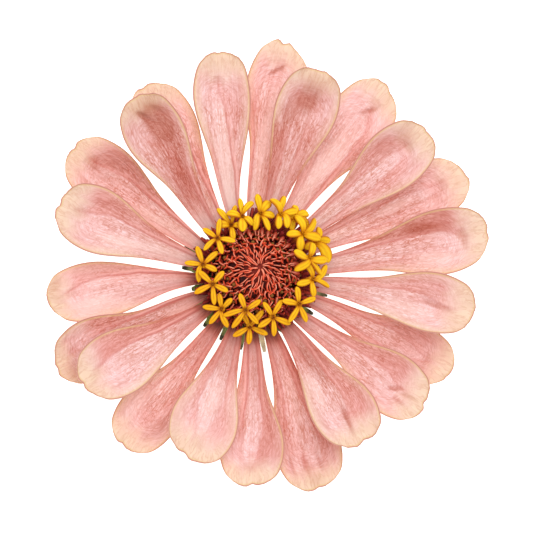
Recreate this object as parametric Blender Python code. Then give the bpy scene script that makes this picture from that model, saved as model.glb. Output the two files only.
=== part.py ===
"""Zinnia flower head, face up, standing on the flat cut end of its short stem stub.

+Z runs up the flower's axis, and the origin is on the surface that the stub stands on.
An azimuth is in degrees, clockwise from +Y as seen from above.
"""

import math
from collections import namedtuple

import bpy
from mathutils import Vector

MM = 0.001

# Driving dimensions, in millimetres
GAP = 0.3
STUB_RADIUS = 3.0
STUB_HEIGHT = 1.8
RIM_RADIUS = 8.2
RIM_LOW = 9.8
RIM_HIGH = 12.5
DOME_HEIGHT = 15.4
RAY_SEAT = 10.6
RAY_SEAT_STEP = 0.45
RAY_RISE = 5.0
RAY_RISE_STEP = 2.0
RAY_THICKNESS = 0.45
FLORET_SEAT_RADIUS = 7.4
FLORET_SEAT_HEIGHT = 13.15
TUBE_BASE_RADIUS = 0.5
TUBE_TOP_RADIUS = 0.55
LOBE_LENGTH = 2.95
LOBE_WIDTH = 0.95
LOBE_THICKNESS = 0.36
CONE_HEIGHT = 20.9
CONE_KNOBS = 34
CONE_KNOB_HEIGHT = 0.35
BRACT_THICKNESS = 0.45
RECEPTACLE_SEGMENTS = 32

# Where the flower's axis lies in the frame, so that the frame's origin is under the whole flower
AXIS_X = -2.5
AXIS_Y = -2.0

# A ray: azimuth of its claw and of its tip, distance of its tip from the axis, greatest width,
# level (0 lies lowest, 3 on top), depth and sideways place of the notch in its tip (-1 is the
# left edge, 1 the right), how much further out the right half of the tip reaches, and how much
# narrower the left and right halves are at the waist, as parts of the half width
Ray = namedtuple("Ray", "claw tip reach width level notch notch_at skew waist_left waist_right")
RAYS = [
    Ray(2.0, 8.3, 43.0, 11.5, 0, 0.8, -0.29, -1.2, 0.33, 0.0),
    Ray(15.5, 16.7, 38.0, 11.4, 2, 0.1, 0.0, 0.0, 0.0, 0.1),
    Ray(31.5, 34.6, 42.9, 11.9, 0, 0.3, 0.3, -0.7, 0.0, 0.17),
    Ray(49.7, 49.8, 40.1, 11.4, 2, 0.1, 0.0, 0.2, 0.3, 0.12),
    Ray(62.0, 63.3, 43.5, 11.5, 0, 0.2, 0.0, 0.4, 0.27, -0.05),
    Ray(80.5, 78.9, 43.0, 12.0, 1, 0.25, 0.0, -0.3, 0.1, 0.22),
    Ray(96.0, 100.6, 39.4, 11.2, 2, 0.1, 0.0, 0.0, 0.25, 0.0),
    Ray(109.8, 116.0, 39.5, 10.9, 0, 0.1, 0.0, 0.0, 0.35, 0.0),
    Ray(129.6, 128.8, 38.5, 11.3, 1, 0.35, -0.2, 0.6, 0.2, 0.28),
    Ray(145.6, 150.0, 36.2, 12.0, 2, 0.3, -0.25, 0.1, 0.24, 0.0),
    Ray(160.2, 163.7, 40.5, 12.3, 0, 0.35, 0.0, 0.6, 0.27, 0.12),
    Ray(180.0, 182.0, 39.0, 11.6, 1, 0.2, -0.1, 0.4, 0.24, 0.19),
    Ray(197.0, 200.0, 36.8, 12.3, 2, 0.2, 0.3, -0.3, 0.17, 0.07),
    Ray(214.6, 216.3, 39.8, 11.1, 0, 0.45, 0.1, 0.1, 0.27, 0.2),
    Ray(232.8, 235.0, 38.3, 11.8, 2, 0.35, 0.0, 0.2, 0.05, 0.08),
    Ray(247.2, 241.5, 40.3, 10.8, 1, 0.2, 0.1, -0.5, 0.0, 0.42),
    Ray(266.0, 260.0, 37.6, 10.4, 0, 0.05, 0.0, 0.0, -0.2, -0.05),
    Ray(282.4, 285.5, 37.3, 12.1, 2, 0.35, 0.0, -0.3, 0.1, 0.12),
    Ray(299.4, 302.8, 39.5, 12.0, 0, 0.5, 0.05, 0.0, 0.27, 0.1),
    Ray(316.2, 321.8, 37.1, 11.2, 3, 0.1, 0.0, 0.0, 0.28, 0.05),
    Ray(327.6, 329.5, 39.1, 11.4, 0, 0.35, -0.3, -0.5, 0.0, 0.1),
    Ray(342.6, 350.3, 40.2, 10.5, 1, 0.25, -0.2, 0.0, 0.22, -0.1),
]

# A ray's half width along its length, as parts of its length and of its greatest half width
RAY_OUTLINE = [
    (0.0, 0.16), (0.1, 0.23), (0.2, 0.31), (0.31, 0.42), (0.46, 0.63), (0.58, 0.83),
    (0.69, 0.97), (0.78, 1.0), (0.87, 0.92), (0.93, 0.77), (0.965, 0.56),
]
WAIST_PLACE = 0.43
WAIST_SPREAD = 0.22
RAY_ROWS = [0.0, 0.16, 0.32, 0.46, 0.58, 0.69, 0.79, 0.88, 0.95, 1.0]
RAY_COLUMNS = [-1.0, -0.7, -0.35, 0.0, 0.35, 0.7, 1.0]

# How a ray's blade is bent, in millimetres; places along the blade are parts of its length
FREE_EDGE_LIFT = 1.1
COVERED_EDGE_LIFT = -0.1
EDGE_LIFT_START = 0.25
EDGE_LIFT_RUN = 0.45
GUTTER_DEPTH = 0.25
GUTTER_END = 0.4
SPOON_DEPTH = 0.7
SPOON_PLACE = 0.8
SPOON_SPREAD = 0.11
TIP_LIFT = 0.6
TIP_LIFT_START = 0.84
ARCH = 0.3
SPINE_BEND_PLACE = 0.45
TIP_ROUNDING_START = 0.6
NOTCH_SPREAD = 0.28

# An open disc floret: azimuth, distance and height of its star's centre, and the turn of its
# first lobe from the outward direction
Floret = namedtuple("Floret", "azimuth radius height spin")
FLORETS = [
    Floret(1.5, 10.1, 18.2, 6),
    Floret(21.5, 10.9, 19.2, 0),
    Floret(33.5, 12.0, 16.5, 44),
    Floret(50.0, 10.6, 18.2, 56),
    Floret(64.0, 11.8, 16.5, 0),
    Floret(75.5, 9.5, 19.2, 8),
    Floret(98.5, 10.0, 18.2, 12),
    Floret(130.5, 9.6, 19.2, 8),
    Floret(162.0, 9.0, 18.2, 12),
    Floret(186.5, 10.2, 16.6, 60),
    Floret(197.0, 8.0, 19.2, -4),
    Floret(221.0, 9.8, 18.2, 64),
    Floret(249.0, 8.8, 19.2, 0),
    Floret(273.0, 9.8, 18.2, 66),
    Floret(305.0, 9.0, 19.2, 68),
    Floret(329.0, 9.4, 17.9, 64),
    Floret(343.5, 10.0, 19.2, 62),
]
FLORET_LEAN = 12.0
LOBES = 5
LOBE_NOTCH_RADIUS = 0.62
LOBE_SHOULDER_PLACE = 0.7
LOBE_SHOULDER_LIFT = 0.15
THROAT_DIP = 0.15
TUBE_TOP_DROP = 0.3

# Half sections through the receptacle and the chaff cone, as (radius, height)
RECEPTACLE_SECTION = [
    (0.0, 0.0), (STUB_RADIUS, 0.0), (STUB_RADIUS, STUB_HEIGHT), (3.4, 2.8), (4.9, 4.3), (6.5, 6.0),
    (7.6, 7.9), (RIM_RADIUS, RIM_LOW), (RIM_RADIUS, RIM_HIGH), (7.7, 12.75), (6.7, 13.0),
    (5.2, 13.8), (3.2, 14.7), (1.6, 15.2), (0.0, DOME_HEIGHT),
]
CONE_UNDERSIDE = [
    (0.0, DOME_HEIGHT + GAP), (1.6, 15.2 + GAP), (3.2, 14.7 + GAP), (5.2, 13.8 + GAP),
    (6.2, 13.35 + GAP), (6.5, 13.7 + GAP),
]
CONE_KNOBBLY_SIDE = [
    (6.7, 15.4), (6.6, 16.6), (6.0, 17.45), (5.1, 18.2), (4.0, 19.0), (2.8, 19.8), (1.5, 20.45),
]

# Bracts, each by its azimuth and how far it grows past its row; every other one is of the outer row
Bract = namedtuple("Bract", "azimuth extra")
BRACTS = [
    Bract(7, 0.0), Bract(30, 0.0), Bract(54, 0.0), Bract(70, 0.8), Bract(85.5, 1.9),
    Bract(100.5, 1.5), Bract(118.5, 0.4), Bract(146, 0.0), Bract(169, 1.0), Bract(187, 0.0),
    Bract(205, 0.0), Bract(223, 0.2), Bract(240, -0.6), Bract(258, -2.4), Bract(277, 0.3),
    Bract(296, 0.0), Bract(318, 0.0), Bract(342, 0.0),
]
INNER_BRACT_PATH = [
    (3.85, 2.4), (5.3, 3.85), (6.95, 5.6), (8.1, 7.6), (8.85, 9.1), (9.9, 9.85), (11.3, 10.1),
    (12.7, 10.0),
]
OUTER_BRACT_PATH = [
    (4.45, 1.85), (5.9, 3.25), (7.6, 5.05), (8.85, 7.2), (9.65, 8.5), (10.6, 9.05), (11.9, 9.25),
    (13.1, 9.1),
]
BRACT_OUTLINE = [
    (0.0, 1.0), (0.25, 1.45), (0.5, 1.8), (0.67, 1.3), (0.8, 0.65), (0.92, 0.45), (1.0, 0.25),
]
BRACT_ROWS = 9

# Colours as the flower shows them, with roughness
COLOURS = {
    "ray": ((0.86, 0.48, 0.43), 0.55),
    "disc_floret": ((0.95, 0.62, 0.03), 0.5),
    "chaff": ((0.33, 0.03, 0.02), 0.6),
    "bract": ((0.2, 0.33, 0.08), 0.6),
    "receptacle": ((0.25, 0.38, 0.12), 0.6),
}


def smooth_through(points, t):
    """The value at t of a smooth curve through points, which are (t, value) pairs in order."""
    last = len(points) - 2
    i = 0
    while i < last and t > points[i + 1][0]:
        i += 1

    def slope(j):
        if j == 0 or j == len(points) - 1:
            a, b = max(j - 1, 0), min(j + 1, len(points) - 1)
            return (points[b][1] - points[a][1]) / (points[b][0] - points[a][0])
        before = (points[j][1] - points[j - 1][1]) / (points[j][0] - points[j - 1][0])
        after = (points[j + 1][1] - points[j][1]) / (points[j + 1][0] - points[j][0])
        return 0.5 * (before + after)

    (t0, y0), (t1, y1) = points[i], points[i + 1]
    h = t1 - t0
    x = (t - t0) / h
    rising = (3.0 - 2.0 * x) * x * x
    return (
        y0 * (1.0 - rising)
        + y1 * rising
        + h * x * (1.0 - x) ** 2 * slope(i)
        + h * x * x * (x - 1.0) * slope(i + 1)
    )


def ease(x):
    """A smooth step from 0 at x = 0 to 1 at x = 1."""
    x = min(max(x, 0.0), 1.0)
    return x * x * (3.0 - 2.0 * x)


def direction(azimuth):
    """The horizontal unit vector at an azimuth."""
    a = math.radians(azimuth)
    return Vector((math.sin(a), math.cos(a), 0.0))


def sideways(azimuth):
    """The horizontal unit vector a quarter turn clockwise from an azimuth."""
    return direction(azimuth + 90.0)


def make_material(name):
    colour, roughness = COLOURS[name]
    material = bpy.data.materials.new(name)
    material.use_nodes = True
    shader = material.node_tree.nodes["Principled BSDF"]
    shader.inputs["Base Color"].default_value = (*colour, 1.0)
    shader.inputs["Roughness"].default_value = roughness
    shader.inputs["Metallic"].default_value = 0.0
    return material


def make_object(name, points, faces, kind):
    """An object with its own material, from points in millimetres about the flower's axis."""
    mesh = bpy.data.meshes.new(name)
    axis = Vector((AXIS_X, AXIS_Y, 0.0))
    mesh.from_pydata([(Vector(p) + axis) * MM for p in points], [], faces)
    mesh.update()
    mesh.shade_smooth()
    mesh.set_sharp_from_angle(angle=math.radians(50.0))
    obj = bpy.data.objects.new(name, mesh)
    bpy.context.collection.objects.link(obj)
    obj.data.materials.append(make_material(kind))
    return obj


def shell_faces(rows, columns):
    """Faces of a closed shell whose upper grid of points comes first and its lower grid second."""
    lower = rows * columns
    faces = []
    for i in range(rows - 1):
        for j in range(columns - 1):
            a, b = i * columns + j, i * columns + j + 1
            c, d = a + columns, b + columns
            faces.append((a, b, d, c))
            faces.append((lower + a, lower + c, lower + d, lower + b))
    rim = list(range(columns))
    rim += [i * columns + columns - 1 for i in range(1, rows)]
    rim += [(rows - 1) * columns + j for j in range(columns - 2, -1, -1)]
    rim += [i * columns for i in range(rows - 2, 0, -1)]
    for k, a in enumerate(rim):
        b = rim[(k + 1) % len(rim)]
        faces.append((a, lower + a, lower + b, b))
    return faces


def edge_lift(index, side):
    """How far a ray's left (-1) or right (1) edge curls up: less where its neighbour covers it."""
    neighbour = RAYS[(index + side) % len(RAYS)]
    if neighbour.level > RAYS[index].level:
        return COVERED_EDGE_LIFT
    return FREE_EDGE_LIFT


def ray_point(index, u, v):
    """Middle of a ray's blade: u runs from claw to tip, v from its left edge to its right."""
    ray = RAYS[index]
    start = direction(ray.claw) * (RIM_RADIUS + GAP)
    end = direction(ray.tip) * ray.reach
    length = ray.reach - RIM_RADIUS - GAP
    bend = start + direction(ray.claw) * (SPINE_BEND_PLACE * length)

    last_t = RAY_OUTLINE[-1][0]
    tip_share = ease((u - TIP_ROUNDING_START) / (1.0 - TIP_ROUNDING_START))
    notch = ray.notch / length * math.exp(-(((v - ray.notch_at) / NOTCH_SPREAD) ** 2))
    lobes = ray.skew / length * v * (1.0 - 0.5 * v * v)
    t = u * last_t + tip_share * ((1.0 - last_t) * (1.0 - v * v) - notch + lobes)
    waist = ray.waist_left if v < 0.0 else ray.waist_right
    waist *= math.exp(-(((t - WAIST_PLACE) / WAIST_SPREAD) ** 2))
    across = v * 0.5 * ray.width * smooth_through(RAY_OUTLINE, u * last_t) * (1.0 - waist)

    spine = start * (1.0 - t) ** 2 + bend * (2.0 * t * (1.0 - t)) + end * (t * t)
    along = (bend - start) * (1.0 - t) + (end - bend) * t
    along.normalize()
    point = spine + Vector((along.y, -along.x, 0.0)) * across

    lift = edge_lift(index, -1 if v < 0.0 else 1)
    seat = RAY_SEAT + RAY_SEAT_STEP * ray.level
    rise = RAY_RISE + RAY_RISE_STEP * ray.level
    point.z = seat + rise * ((1.0 + ARCH) * t - ARCH * t * t)
    point.z += lift * v * v * ease((t - EDGE_LIFT_START) / EDGE_LIFT_RUN)
    point.z += GUTTER_DEPTH * v * v * (1.0 - ease(t / GUTTER_END))
    point.z -= SPOON_DEPTH * (1.0 - v * v) * math.exp(-(((t - SPOON_PLACE) / SPOON_SPREAD) ** 2))
    point.z += TIP_LIFT * ease((t - TIP_LIFT_START) / (1.0 - TIP_LIFT_START))
    return point


def make_ray(index):
    """A ray floret's blade on its claw."""
    upper = []
    lower = []
    for u in RAY_ROWS:
        for v in RAY_COLUMNS:
            p = ray_point(index, u, v)
            half = 0.5 * RAY_THICKNESS
            upper.append(p + Vector((0.0, 0.0, half)))
            lower.append(p - Vector((0.0, 0.0, half)))
    faces = shell_faces(len(RAY_ROWS), len(RAY_COLUMNS))
    return make_object(f"ray_{index + 1:02d}", upper + lower, faces, "ray")


def turned(name, profile, segments, kind, bump=0.0):
    """A solid of revolution; bump raises every other point of its upper rings, in a spiral."""
    points = []
    rings = []
    for k, (r, z, bumped) in enumerate(profile):
        if r == 0.0:
            rings.append([len(points)])
            points.append(Vector((0.0, 0.0, z)))
            continue
        ring = []
        for s in range(segments):
            raised = bump if bumped and (s + k) % 2 == 0 else 0.0
            ring.append(len(points))
            out = direction(360.0 * s / segments)
            points.append(out * (r + 0.5 * raised) + Vector((0.0, 0.0, z + raised)))
        rings.append(ring)
    faces = []
    for first, second in zip(rings, rings[1:]):
        for s in range(segments):
            n = (s + 1) % segments
            if len(first) == 1:
                faces.append((first[0], second[s], second[n]))
            elif len(second) == 1:
                faces.append((first[s], second[0], first[n]))
            else:
                faces.append((first[s], second[s], second[n], first[n]))
    return make_object(name, points, faces, kind)


def make_receptacle():
    """The head that everything grows from, with its stub of stem."""
    profile = [(r, z, False) for r, z in RECEPTACLE_SECTION]
    return turned("receptacle", profile, RECEPTACLE_SEGMENTS, "receptacle")


def make_chaff_cone():
    """The mass of chaff on the receptacle's dome, with its knobbly spiral surface."""
    profile = [(r, z, False) for r, z in CONE_UNDERSIDE]
    profile += [(r, z, True) for r, z in CONE_KNOBBLY_SIDE]
    profile += [(0.0, CONE_HEIGHT, False)]
    return turned("chaff_cone", profile, CONE_KNOBS, "chaff", bump=CONE_KNOB_HEIGHT)


def make_disc_floret(index):
    """A tube that flares into a star of five lobes, open to the sky."""
    floret = FLORETS[index]
    outward = direction(floret.azimuth)
    clockwise = sideways(floret.azimuth)
    lean = math.radians(FLORET_LEAN)
    up = Vector((0.0, 0.0, 1.0))
    axis = outward * math.sin(lean) + up * math.cos(lean)
    out_along = outward * math.cos(lean) - up * math.sin(lean)
    centre = outward * floret.radius + up * floret.height
    seat = outward * FLORET_SEAT_RADIUS + up * FLORET_SEAT_HEIGHT

    # One lobe: the notch before it, its two shoulders with the tip between, as (along, across, up)
    half_gap = math.pi / LOBES
    shoulder = LOBE_SHOULDER_PLACE * LOBE_LENGTH
    lobe = [
        (LOBE_NOTCH_RADIUS * math.cos(half_gap), -LOBE_NOTCH_RADIUS * math.sin(half_gap), 0.0),
        (shoulder, -0.5 * LOBE_WIDTH, LOBE_SHOULDER_LIFT),
        (LOBE_LENGTH, 0.0, 0.0),
        (shoulder, 0.5 * LOBE_WIDTH, LOBE_SHOULDER_LIFT),
    ]
    samples = []
    for k in range(LOBES):
        turn = math.radians(floret.spin) + 2.0 * math.pi * k / LOBES
        c, s = math.cos(turn), math.sin(turn)
        samples += [(x * c - y * s, x * s + y * c, z) for x, y, z in lobe]

    def in_star(x, y, z):
        return centre + out_along * x + clockwise * y + axis * z

    count = len(samples)
    rings = [[in_star(x, y, z) for x, y, z in samples]]
    rings.append([in_star(x, y, z - LOBE_THICKNESS) for x, y, z in samples])
    throat = []
    base = []
    for x, y, z in samples:
        r = math.hypot(x, y)
        inner = TUBE_TOP_RADIUS / r
        throat.append(in_star(x * inner, y * inner, -LOBE_THICKNESS - TUBE_TOP_DROP))
        base.append(seat + (outward * x + clockwise * y) * (TUBE_BASE_RADIUS / r))
    rings += [throat, base]
    points = [in_star(0.0, 0.0, -THROAT_DIP)] + [p for ring in rings for p in ring] + [seat]
    faces = []
    for s in range(count):
        n = (s + 1) % count
        faces.append((0, 1 + n, 1 + s))
        for k in range(len(rings) - 1):
            a, b = 1 + k * count, 1 + (k + 1) * count
            faces.append((a + s, a + n, b + n, b + s))
        a = 1 + (len(rings) - 1) * count
        faces.append((a + s, a + n, len(points) - 1))
    return make_object(f"disc_floret_{index + 1:02d}", points, faces, "disc_floret")


def make_bract(index):
    """A phyllary that hugs the receptacle and bends out under the rays."""
    bract = BRACTS[index]
    path = INNER_BRACT_PATH if index % 2 == 0 else OUTER_BRACT_PATH
    steps = len(path) - 1
    radii = [(k / steps, r + bract.extra * (k / steps) ** 3) for k, (r, z) in enumerate(path)]
    heights = [(k / steps, z) for k, (r, z) in enumerate(path)]
    upper = []
    lower = []
    for i in range(BRACT_ROWS):
        t = i / (BRACT_ROWS - 1)
        r, z = smooth_through(radii, t), smooth_through(heights, t)
        near = 0.01 if i < BRACT_ROWS - 1 else -0.01
        slope_r = (smooth_through(radii, t + near) - r) / near
        slope_z = (smooth_through(heights, t + near) - z) / near
        steep = math.hypot(slope_r, slope_z)
        inward = (-slope_z / steep, slope_r / steep)
        half_width = smooth_through(BRACT_OUTLINE, t)
        for side in (-1.0, 0.0, 1.0):
            out = direction(bract.azimuth + math.degrees(side * half_width / r))
            half = 0.5 * BRACT_THICKNESS
            upper.append(out * (r + half * inward[0]) + Vector((0.0, 0.0, z + half * inward[1])))
            lower.append(out * (r - half * inward[0]) + Vector((0.0, 0.0, z - half * inward[1])))
    return make_object(f"bract_{index + 1:02d}", upper + lower, shell_faces(BRACT_ROWS, 3), "bract")


for existing in list(bpy.data.objects):
    bpy.data.objects.remove(existing, do_unlink=True)

make_receptacle()
make_chaff_cone()
for number in range(len(RAYS)):
    make_ray(number)
for number in range(len(FLORETS)):
    make_disc_floret(number)
for number in range(len(BRACTS)):
    make_bract(number)
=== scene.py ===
import math
from collections import namedtuple

import bpy
import numpy as np
from mathutils import Matrix, Vector


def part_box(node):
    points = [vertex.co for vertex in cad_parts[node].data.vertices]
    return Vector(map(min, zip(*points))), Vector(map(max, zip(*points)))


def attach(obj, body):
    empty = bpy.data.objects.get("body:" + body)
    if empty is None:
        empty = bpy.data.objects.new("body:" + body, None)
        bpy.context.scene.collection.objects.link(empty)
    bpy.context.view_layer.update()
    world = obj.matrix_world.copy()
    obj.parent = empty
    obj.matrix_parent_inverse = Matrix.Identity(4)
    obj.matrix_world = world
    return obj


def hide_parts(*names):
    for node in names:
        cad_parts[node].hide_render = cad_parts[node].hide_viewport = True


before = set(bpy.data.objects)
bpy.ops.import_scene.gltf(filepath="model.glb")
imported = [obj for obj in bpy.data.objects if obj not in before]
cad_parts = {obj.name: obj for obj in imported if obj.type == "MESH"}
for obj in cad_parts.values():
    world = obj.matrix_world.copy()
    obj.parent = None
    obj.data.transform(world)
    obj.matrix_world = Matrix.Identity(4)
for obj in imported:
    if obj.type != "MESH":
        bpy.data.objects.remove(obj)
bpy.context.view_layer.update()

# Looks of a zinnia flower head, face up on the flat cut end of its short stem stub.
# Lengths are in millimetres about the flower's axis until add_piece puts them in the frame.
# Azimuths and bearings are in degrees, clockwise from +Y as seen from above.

MM = 0.001
BODY = "root"
UP = np.array([0.0, 0.0, 1.0])
GOLDEN_ANGLE = 137.508

# The flower's axis, from the turned piece that everything grows from
stem_low, stem_high = (np.array(corner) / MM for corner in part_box("receptacle"))
AXIS = np.array([*(0.5 * (stem_low + stem_high))[:2], 0.0])
RIM_RADIUS = 0.5 * (stem_high - stem_low)[0]
GAP = 0.3

# The photograph's viewing direction: how far it leans from straight down, and towards where
VIEW_LEAN = 15.0
VIEW_BEARING = 220.0
VIEW_DISTANCE = 500.0
VIEW_TARGET = np.array([2.69, 1.85, 11.84])
VIEW_WIDTH = 95.94
SENSOR_WIDTH = 36.0

# A ray: azimuth of its claw and of its tip, distance of its tip from the axis, greatest width,
# level (0 lies lowest, 3 on top), depth and sideways place of the notch in its tip (-1 is the
# left edge, 1 the right), how much further out the right half of the tip reaches, and how far
# each side is drawn in at the blade's waist, as a part of its half width
Ray = namedtuple("Ray", "claw tip reach width level notch notch_at skew waist_left waist_right")
RAYS = [Ray(*values) for values in (
    (2, 8.3, 43, 11.5, 0, 0.55, -0.29, -1.2, 0.33, 0),
    (15.5, 16.7, 38, 11.4, 2, 0.1, 0, 0, 0, 0.1),
    (31.5, 34.6, 42.9, 11.9, 0, 0.3, 0.3, -0.7, 0, 0.17),
    (49.7, 49.8, 40.1, 11.4, 2, 0.1, 0, 0.2, 0.3, 0.12),
    (62, 63.3, 43.5, 11.5, 0, 0.2, 0, 0.4, 0.27, -0.05),
    (80.5, 78.9, 43, 12, 1, 0.25, 0, -0.3, 0.1, 0.22),
    (96, 100.6, 39.4, 11.2, 2, 0.1, 0, 0, 0.25, 0),
    (109.8, 116, 39.5, 10.9, 0, 0.1, 0, 0, 0.35, 0),
    (129.6, 128.8, 38.5, 11.3, 1, 0.5, -0.2, 0.6, 0.2, 0.28),
    (145.6, 150, 36.2, 12, 2, 0.45, -0.25, 0.1, 0.24, 0),
    (160.2, 163.7, 40.5, 12.3, 0, 0.45, 0, 0.6, 0.27, 0.12),
    (180, 182, 39, 11.6, 1, 0.4, -0.1, 0.4, 0.24, 0.19),
    (197, 200, 36.8, 12.3, 2, 0.45, 0.3, -0.3, 0.17, 0.07),
    (214.6, 216.3, 39.8, 11.1, 0, 0.45, 0.1, 0.1, 0.27, 0.2),
    (232.8, 235, 38.3, 11.8, 2, 0.35, 0, 0.2, 0.05, 0.08),
    (247.2, 241.5, 40.3, 10.8, 1, 0.2, 0.1, -0.5, 0, 0.42),
    (266, 260, 37.6, 10.4, 0, 0.05, 0, 0, -0.2, -0.05),
    (282.4, 285.5, 37.3, 12.1, 2, 0.35, 0, -0.3, 0.1, 0.12),
    (299.4, 302.8, 39.5, 12, 0, 0.5, 0.05, 0, 0.27, 0.1),
    (316.2, 321.8, 37.1, 11.2, 3, 0.1, 0, 0, 0.28, 0.05),
    (327.6, 329.5, 39.1, 11.4, 0, 0.35, -0.3, -0.5, 0, 0.1),
    (342.6, 350.3, 40.2, 10.5, 1, 0.25, -0.2, 0, 0.22, -0.1),
)]
RAY_OUTLINE = [
    (0.0, 0.16), (0.1, 0.23), (0.2, 0.31), (0.31, 0.42), (0.46, 0.63), (0.58, 0.83),
    (0.69, 0.97), (0.78, 1.0), (0.87, 0.92), (0.93, 0.77), (0.965, 0.56),
]
WAIST_PLACE = 0.43
WAIST_SPREAD = 0.22
RAY_SEAT = 10.6
RAY_SEAT_STEP = 0.45
RAY_RISE = 5.0
RAY_RISE_STEP = 2.0
FREE_EDGE_LIFT = 1.1
COVERED_EDGE_LIFT = -0.1
EDGE_LIFT_START = 0.25
EDGE_LIFT_RUN = 0.45
GUTTER_DEPTH = 0.25
GUTTER_END = 0.4
SPOON_DEPTH = 0.7
SPOON_PLACE = 0.8
SPOON_SPREAD = 0.11
TIP_LIFT = 0.6
TIP_LIFT_START = 0.84
ARCH = 0.3
SPINE_BEND_PLACE = 0.45
TIP_ROUNDING_START = 0.6
NOTCH_SPREAD = 0.22

# How finely a blade is meshed, and how thick it is in its middle and at its rim
BLADE_ROWS = 165
BLADE_COLUMNS = 79
BLADE_THICKNESS = 0.3
RIM_THICKNESS = 0.13
NOMINAL_HALF_WIDTH = 5.6

# The net on a blade runs lengthwise as far as ARCH_START, and from there in arches round the
# end. The streaks of the end run outwards from FAN_START.
ARCH_START = 0.75
ARCH_RADIUS = 2.5
FAN_START = 0.74
FAN_RADIUS = 5.0

# Layers of a blade's crinkles: height, and how long and how wide one is
CRINKLES = [(0.05, 1.3, 0.45), (0.03, 0.7, 0.28)]

# A blade's broad waves: height, and how long and how wide one is
WAVE_HEIGHT = 0.2
WAVE_LENGTH = 8.0
WAVE_WIDTH = 3.2

# How far apart two rays' nets lie in the noise, and how much of its own colour a blade's
# underside takes on
NET_SEED_STEP = 3.7
UNDERSIDE_SHARE = 0.75

# Layers of the end's uneven rim, as height and pitch: up and down, and outwards
RIM_RIPPLE = [(0.08, 1.1), (0.04, 0.4)]
RIM_TEETH = [(0.14, 1.6), (0.04, 0.35)]

# How each ray differs from the others: overall painted shade, how much painted shadow of the disc
# darkens its base, width of its cream margin at the sides and at the tip, strength of its net, and
# overall rosiness
RayLook = namedtuple("RayLook", "dark base side tip net rosy")
RAY_LOOKS = [RayLook(*values) for values in (
    (0, 0.05, 1, 1, 1.1, 0.05), (0.15, 0.1, 1, 0.8, 1.1, 0.15), (0, 0.1, 1, 1, 0.9, 0),
    (0.05, 0.1, 1, 1, 1, 0.1), (0, 0.1, 1, 1.1, 1.1, 0), (0.05, 0.25, 1, 1.1, 1.1, 0.05),
    (0, 0.4, 1, 1.2, 1, 0), (0.15, 0.6, 1, 1, 1, 0.1), (0, 0.7, 1, 1.1, 1, 0.1),
    (0, 0.75, 1, 1, 1.1, 0.05), (0.15, 0.95, 1, 0.9, 1.1, 0.05), (0, 0.9, 1, 1, 0.9, 0.1),
    (0, 0.75, 1.3, 1.4, 0.8, 0), (0.1, 1, 1, 1, 1.1, 0.05), (0, 0.8, 1.1, 1.1, 0.95, 0),
    (0.2, 0.5, 1, 0.8, 1.2, 0.1), (0, 0.7, 1.1, 1, 0.8, 0), (0, 0.25, 1.1, 1.1, 1, 0),
    (0.05, 0.15, 1, 0.9, 1.1, 0.05), (0.25, 0.05, 0.7, 0.8, 1.2, 0.15),
    (0, 0.2, 1.2, 1.3, 1.3, 0.1), (0, 0.05, 1, 1.1, 1.1, 0),
)]

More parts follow.
